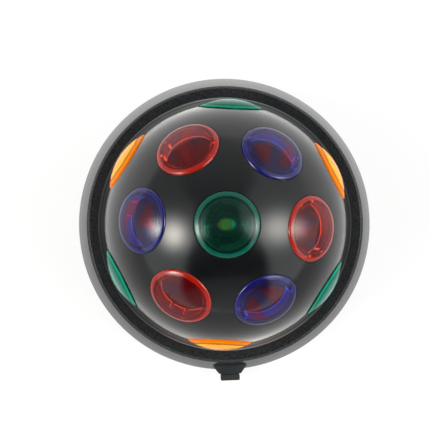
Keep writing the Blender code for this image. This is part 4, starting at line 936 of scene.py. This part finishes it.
BOSSES = around(BOSS_CIRCLE, 4, TAU / 8)


def base_outline():
    """Half the base from the middle of its deck, over the rim and down to its foot."""
    return [
        (0, DECK_TOP),
        (DECK_RADIUS, DECK_TOP),
        (BAND_IN, BAND_IN_Z),
        (BAND_OUT, BAND_OUT_Z),
        (WALL_TOP_RADIUS, RIM),
        (WALL_FOOT_RADIUS, FOOT_OF_WALL),
        (WALL_FOOT_RADIUS - FOOT_OF_WALL, 0),
        (0, 0),
    ]


def outlet_block():
    """The moulded block round the cord outlet, broad where its roof leaves the wall, with soft edges."""
    bm = bmesh.new()
    root, shoulder, half, nose = WALL_TOP_RADIUS - WALL, 90.148, 21.5 / 2, 13.8 / 2
    outline = [(-half, -root), (half, -root), (half, -shoulder), (nose, -OUTLET_FACE)]
    outline += [(-nose, -OUTLET_FACE), (-half, -shoulder)]
    prism(bm, outline, 1.1, 13.2)
    bmesh.ops.recalc_face_normals(bm, faces=bm.faces[:])
    limit = -(root + 2) * MM
    edges = []
    for edge in bm.edges:
        one, two = (v.co for v in edge.verts)
        upright = abs(one.z - two.z) > MM
        if min(one.y, two.y) < limit and (upright or one.z > 2 * MM):
            edges.append(edge)
    bmesh.ops.bevel(bm, geom=edges, offset=0.35 * MM, segments=3, affect="EDGES", profile=0.5)
    return solid("outlet", bm)


def base_zone(centre, normal):
    """Which of the base's looks a face has: polished, band, slope or outlet block."""
    radius = math.hypot(centre.x, centre.y)
    if abs(centre.x) < 10.9 and centre.y < -80 and 1.0 < centre.z < 13.4:
        lean = (WALL_FOOT_RADIUS - WALL_TOP_RADIUS) / (RIM - FOOT_OF_WALL)
        wall = WALL_FOOT_RADIUS - (centre.z - FOOT_OF_WALL) * lean
        if radius > wall + 0.12:
            return 3
    if centre.z > 26.9 and BAND_IN - 0.3 < radius < BAND_OUT + 0.05 and normal.z > 0.95:
        return 1
    if centre.z > DECK_TOP + 0.1 and DECK_RADIUS - 0.6 < radius < BAND_IN + 0.1 and normal.z > 0.5:
        return 2
    return 0


def make_base():
    """The round base, turned with soft edges, hollow below, with its screw bosses and outlet."""
    outline = base_outline()
    radii = [0, 1.2, 0.45, 0.3, 0.5, 0.35, 0.35, 0]
    shell = turned("base_housing", filleted(outline, radii), 256)
    cut(shell, outlet_block(), "UNION")
    inner = inset(outline[:6], WALL)
    inner[0] = (0, DECK_UNDER)
    (r0, z0), (r1, z1) = inner[-2:]
    inner[-1] = (r1 + (r1 - r0) * (z1 + 2) / (z0 - z1), -2)
    cut(shell, turned("hollow", [*inner, (0, -2)], 128))
    bosses, holes = bmesh.new(), bmesh.new()
    for at in BOSSES:
        rod(bosses, 3.2, 3.1, RIM + 0.8, at, 32)
        rod(holes, SCREW_BORE, 1.0, 14.0, at, 24)
    cut(shell, solid("bosses", bosses), "UNION")
    rod(holes, 6.3, DECK_UNDER - 2, DECK_TOP + 2)
    rod(holes, 5.3, DECK_UNDER - 2, DECK_TOP + 2, (35, 0))
    for at in ((35, -26.2), (35, 26.2), (0, -9.5), (0, 9.5)):
        rod(holes, SCREW_BORE, DECK_UNDER - 2, DECK_TOP + 2, at, 24)
    half, rise = 12.2 / 2 - 0.4, 4 - 0.4
    block(holes, (-half, -OUTLET_FACE - 2, GLAND_Z - rise), (half, -83.071, GLAND_Z + rise))
    cut(shell, solid("holes", holes))
    smooth(shell.data, 28)
    zoned(shell, ("base_gloss", "base_band", "base_slope", "base_block"), base_zone)
    dress(shell, "base_gloss", "base", "base_shell")


def make_gland():
    """The cord's gland, a soft block with a neck, a collar and a round bore."""
    bm = bmesh.new()
    start, reach = -OUTLET_FACE - 0.3, 4.1
    block(bm, (-6.1, start - reach, GLAND_Z - 4), (6.1, start, GLAND_Z + 4))
    bmesh.ops.bevel(bm, geom=list(bm.edges), offset=0.9 * MM, segments=5, affect="EDGES", profile=0.5)
    gland = solid("outlet_gland", bm)
    collar = -math.sqrt((WALL_TOP_RADIUS - WALL) ** 2 - 6.1**2) + 0.3
    bm = bmesh.new()
    block(bm, (-5.4, start - reach / 2, GLAND_Z - 3.3), (5.4, collar + 1.3, GLAND_Z + 3.3))
    cut(gland, solid("neck", bm), "UNION")
    bm = bmesh.new()
    block(bm, (-6.6, collar, GLAND_Z - 4.5), (6.6, collar + 2.6, GLAND_Z + 4.5))
    cut(gland, solid("collar", bm), "UNION")
    bm = bmesh.new()
    rod(bm, 2.6, -12, 12, segments=48)
    bore = solid("bore", bm)
    bore.matrix_world = Matrix.Translation((0, -92 * MM, GLAND_Z * MM)) @ Matrix.Rotation(math.pi / 2, 4, "X")
    cut(gland, bore)
    smooth(gland.data, 32)
    dress(gland, "rubber", "base", "cord_gland")


def make_feet():
    """Four rubber feet with soft edges and a shallow hollow below."""
    hollow = FLOOR_Z + 0.3
    profile = [(0, 0.9), (6.5, 0.9), (6.5, -1.5), (6.5, FLOOR_Z)]
    profile += [(5.2, FLOOR_Z), (4.6, hollow), (0, hollow)]
    rounded = filleted(profile, [0, 0.2, 0, 0.55, 0.25, 0.25, 0])
    for i, (x, y) in enumerate(around(FOOT_CIRCLE, 4)):
        foot = turned(f"soft_foot_{i + 1}", rounded, 64)
        foot.data.transform(Matrix.Translation((x * MM, y * MM, 0)))
        smooth(foot.data)
        dress(foot, "rubber", "base", f"rubber_foot_{i + 1}")


def slot_outline(y, length, width, steps=8):
    """A slot along X with round ends."""
    outline = []
    straight = (length - width) / 2
    for side in (1, -1):
        for k in range(steps + 1):
            a = math.pi * k / steps - math.pi / 2
            along = straight + width / 2 * math.cos(a)
            outline.append((side * along, y + side * width / 2 * math.sin(a)))
    return outline


def make_cover():
    """The bottom cover with its raised centre panel, a groove, vents, foot recesses and screw holes."""
    edge, top, under = 89.571, 2.8, 0.5
    profile = [(0, top), (edge, top), (edge, under)]
    profile += [(82.0, under), (81.6, 0.8), (81.2, 0.8), (80.8, under)]
    profile += [(30.5, under), (30.0, 0), (26.0, 0), (25.7, 0.25), (25.2, 0.25), (24.9, 0), (0, 0)]
    rounding = [0, 0.4, 0.4, 0, 0, 0, 0, 0.2, 0.15, 0, 0, 0, 0, 0]
    cover = turned("under_cover", filleted(profile, rounding, 3), 192)
    posts, holes = bmesh.new(), bmesh.new()
    for at in ((-60.5, -9.5), (-23.5, 9.5)):
        rod(posts, 2.8, 2.2, 5.8, at, 40)
        rod(holes, SCREW_BORE, top, top + 5, at, 24)
    cut(cover, solid("posts", posts), "UNION")
    for at in around(FOOT_CIRCLE, 4):
        rod(holes, 6.8, -2, 1.2, at, 64)
    for at in BOSSES:
        rod(holes, SCREW_BORE, 0, 5, at, 32)
    for side in (-1, 1):
        for row in range(3):
            prism(holes, slot_outline(side * (30 + 7 * (row + 0.75)), 32, 2.8), -2, 5)
    cut(cover, solid("openings", holes))
    smooth(cover.data, 30)
    dress(cover, "satin_black", "base", "bottom_cover")


def make_cover_screws():
    """Round-headed screws with a cross recess, their heads down."""
    for i, (x, y) in enumerate(BOSSES):
        profile = [(0, -1.3), (1.2, -1.22), (1.95, -0.95), (2.4, -0.5), (2.58, 0.05), (2.5, 0.2)]
        profile += [(1.2, 0.2), (1.2, 8.4), (0.7, 9.2), (0, 9.2)]
        driven = turned(f"fine_screw_{i + 1}", profile[::-1], 48)
        for x_half, y_half in ((1.35, 0.27), (0.27, 1.35)):
            bm = bmesh.new()
            block(bm, (-x_half, -y_half, -2), (x_half, y_half, -0.5))
            cut(driven, solid("recess", bm))
        turn = Matrix.Rotation(math.radians(20 + 31 * i), 4, "Z")
        driven.data.transform(Matrix.Translation((x * MM, y * MM, 0)) @ turn)
        smooth(driven.data, 30)
        dress(driven, "steel", "base", f"cover_screw_{i + 1}")


make_dome()
make_lenses()
make_base()
make_gland()
make_feet()
make_cover()
make_cover_screws()


# The CAD nodes that stay take their slot's material.
SLOT_OF = {
    "steel": ["retaining_clip", "motor_shaft"],
    "motor_steel": ["gear_motor"],
    "aluminium": ["lamp_head", "centre_post"],
    "nylon": ["drive_gear", "pinion", "thrust_washer"],
    "nylon_smoked": ["dome_carrier"],
    "brass": ["hub_bush"],
    "led_board": ["led_top"] + [f"led_side_{i}" for i in range(1, 7)],
    "circuit_board": ["driver_board"],
    "choke": ["driver_choke"],
    "sleeve": ["driver_capacitor"],
    "terminal": ["terminal_block"],
    "lead_red": ["lamp_lead"],
    "lead_white": ["motor_lead", "supply_lead"],
}
for node in NODES:
    if "screw" in node and "cover" not in node:
        SLOT_OF["steel"].append(node)
for look, names in SLOT_OF.items():
    for node in names:
        kept = NODES[node]
        kept.data.materials.clear()
        kept.data.materials.append(LOOKS[look])


# Light


def studio(s):
    """A dark hourglass of ceiling, pale walls beside it and two lamps with soft edges.

    Across and along are a direction's angles from straight up, towards +X and +Y, in degrees.
    """
    x, y, z = s.apart(s.node("ShaderNodeTexCoord").outputs["Generated"])
    across = s.sums("MULTIPLY", s.sums("ARCTAN2", x, z), 360 / TAU)
    along = s.sums("MULTIPLY", s.sums("ARCSINE", y), 360 / TAU)

    def line(at_zero, slope):
        return s.sums("ADD", s.sums("MULTIPLY", along, slope), at_zero)

    blur = s.sums("MULTIPLY", s.sums("ABSOLUTE", s.sums("ADD", along, 5.0)), 0.3)
    blur = s.sums("MAXIMUM", 1.8, s.sums("SUBTRACT", blur, 1.0))

    def edge(least, below, above):
        """How far across a wall begins: never nearer than the least, and two lines past that."""
        return s.sums("MAXIMUM", least, s.sums("MAXIMUM", line(*below), line(*above)))

    def lamp(at, spread, strength):
        """A round glow that fades with the square of how many spreads away it is."""
        far = 0.0
        for value, middle, width in zip((across, along), at, spread):
            off = s.sums("MULTIPLY", s.sums("SUBTRACT", value, middle), 1 / width)
            far = s.sums("ADD", far, s.sums("MULTIPLY", off, off))
        return s.sums("MULTIPLY", s.sums("EXPONENT", s.sums("MULTIPLY", far, -0.5)), strength)

    ceiling = 0.015
    for low, high, rise in ((-20, 10, 0.13), (10, 80, 0.44), (-48, -53, 0.22), (-53, -80, 0.3)):
        ceiling = s.sums("ADD", ceiling, s.ramp(along, low, high, 0.0, rise, "LINEAR"))
    right = s.ramp(along, 40, -25, 0.82, 1.3)
    left = s.ramp(along, 35, -20, 0.52, 1.2)
    past_right = s.sums("SUBTRACT", across, edge(20.0, (20.25, -0.75), (0.45, 0.85)))
    past_left = s.sums("SUBTRACT", s.sums("MULTIPLY", across, -1.0), edge(29.5, (21.25, -0.75), (8.0, 1.1)))
    light = ceiling
    for wall, past in ((right, past_right), (left, past_left)):
        share = s.ramp(s.sums("DIVIDE", past, blur), -1, 1)
        light = s.sums("ADD", light, s.sums("MULTIPLY", share, s.sums("SUBTRACT", wall, light)))
    light = s.sums("ADD", light, lamp((50, -4.9), (11.5, 8.2), 9.0))
    light = s.sums("ADD", light, lamp((-51.5, -6.9), (8.6, 7.4), 17.0))
    cool, warm = (0.975, 0.995, 1.0, 1), (1.0, 0.965, 0.88, 1)
    lit = s.node("ShaderNodeBackground")
    s.put(lit.inputs["Color"], s.blend(s.ramp(light, 2.0, 9.0), cool, warm))
    s.put(lit.inputs["Strength"], light)
    seen = s.node("ShaderNodeBackground")
    seen.inputs["Color"].default_value = (1, 1, 1, 1)
    camera_ray = s.node("ShaderNodeLightPath").outputs["Is Camera Ray"]
    s.finish(s.mixed(camera_ray, lit.outputs[0], seen.outputs[0]), "ShaderNodeOutputWorld")


def floor_look(s):
    """A pale floor that the camera sees as white, and gloss and glass see with painted shade, darker towards
    -Y, and that keeps a faint shadow.
    """
    at = s.place()
    speck = s.over(s.noise(at, 300, 2.0), 0.19, 0.21, "LINEAR")
    pale = s.node("ShaderNodeBsdfDiffuse")
    pale.inputs[0].default_value = (0.8, 0.8, 0.79, 1)
    faint = s.node("ShaderNodeBsdfDiffuse")
    tint = s.node("ShaderNodeCombineColor")
    for socket in tint.inputs[:3]:
        s.put(socket, speck)
    s.put(faint.inputs[0], tint.outputs[0])
    x, y, _ = s.apart(at)
    radius = s.span(x, y)
    path = s.node("ShaderNodeLightPath")
    # Painted shade for gloss and glass: the floor darker towards -Y, near the base and further out
    near = s.ramp(y, -0.093, 0.093, 0.44, 1.0, "LINEAR")
    wide = s.ramp(y, -0.2, 0.1, 0.3, 1.0)
    share = s.ramp(radius, 0.105, 0.15)
    reflected = s.sums("ADD", near, s.sums("MULTIPLY", share, s.sums("SUBTRACT", wide, near)))
    seen = s.sums("MAXIMUM", reflected, path.outputs["Is Camera Ray"])
    white_level = 0.84
    white = s.node("ShaderNodeEmission")
    white.inputs["Color"].default_value = (1, 1, 1, 1)
    s.put(white.inputs["Strength"], s.sums("MULTIPLY", seen, white_level))
    both = s.node("ShaderNodeAddShader")
    s.tree.links.new(faint.outputs[0], both.inputs[0])
    s.tree.links.new(white.outputs[0], both.inputs[1])
    rays = s.sums("MAXIMUM", path.outputs["Is Camera Ray"], path.outputs["Is Glossy Ray"])
    rays = s.sums("MAXIMUM", rays, path.outputs["Is Transmission Ray"])
    s.finish(s.mixed(rays, pale.outputs[0], both.outputs[0]))


def make_stage():
    """The floor just below the feet, and the studio as the world."""
    bm = bmesh.new()
    bmesh.ops.create_grid(bm, x_segments=24, y_segments=24, size=4.0)
    floor = solid("floor", bm)
    floor.location.z = (FLOOR_Z - 0.05) * MM
    floor.data.materials.append(material("floor", (0.8, 0.8, 0.79), floor_look))
    world = bpy.data.worlds.new("studio")
    bpy.context.scene.world = world
    world.use_nodes = True
    studio(Shader(world.node_tree))


def make_camera():
    """Nearly straight above, at the photograph's small tilt and turn.

    The focal length and the place of the dome's centre in the picture are in pixels.
    """
    pixels, focal, distance = 430, 2893.0, 1.8
    seen_x, seen_y = 225.46, 224.35
    roll = math.radians(2.1)
    right = Vector((math.cos(roll), -math.sin(roll), 0))
    up = Vector((math.sin(roll), math.cos(roll), 0))
    tilt_x, tilt_y = math.radians(-0.55), math.radians(0.03)
    back = Vector((math.sin(tilt_x), math.sin(tilt_y), 1)).normalized()
    right = (right - back * right.dot(back)).normalized()
    up = back.cross(right)
    scale = distance / focal
    centre = Vector((0, 0, DOME_CENTRE * MM))
    aim = centre - right * (seen_x - pixels / 2) * scale + up * (seen_y - pixels / 2) * scale
    data = bpy.data.cameras.new("camera")
    data.sensor_fit = "HORIZONTAL"
    sensor = 36
    data.sensor_width = sensor
    data.lens = focal / pixels * sensor
    data.clip_start, data.clip_end = 0.05, 20
    camera = bpy.data.objects.new("camera", data)
    bpy.context.scene.collection.objects.link(camera)
    turn = Matrix((right, up, back)).transposed().to_4x4()
    camera.matrix_world = Matrix.Translation(aim + back * distance) @ turn
    bpy.context.scene.camera = camera


make_stage()
make_camera()
bpy.context.scene.view_settings.view_transform = "Standard"
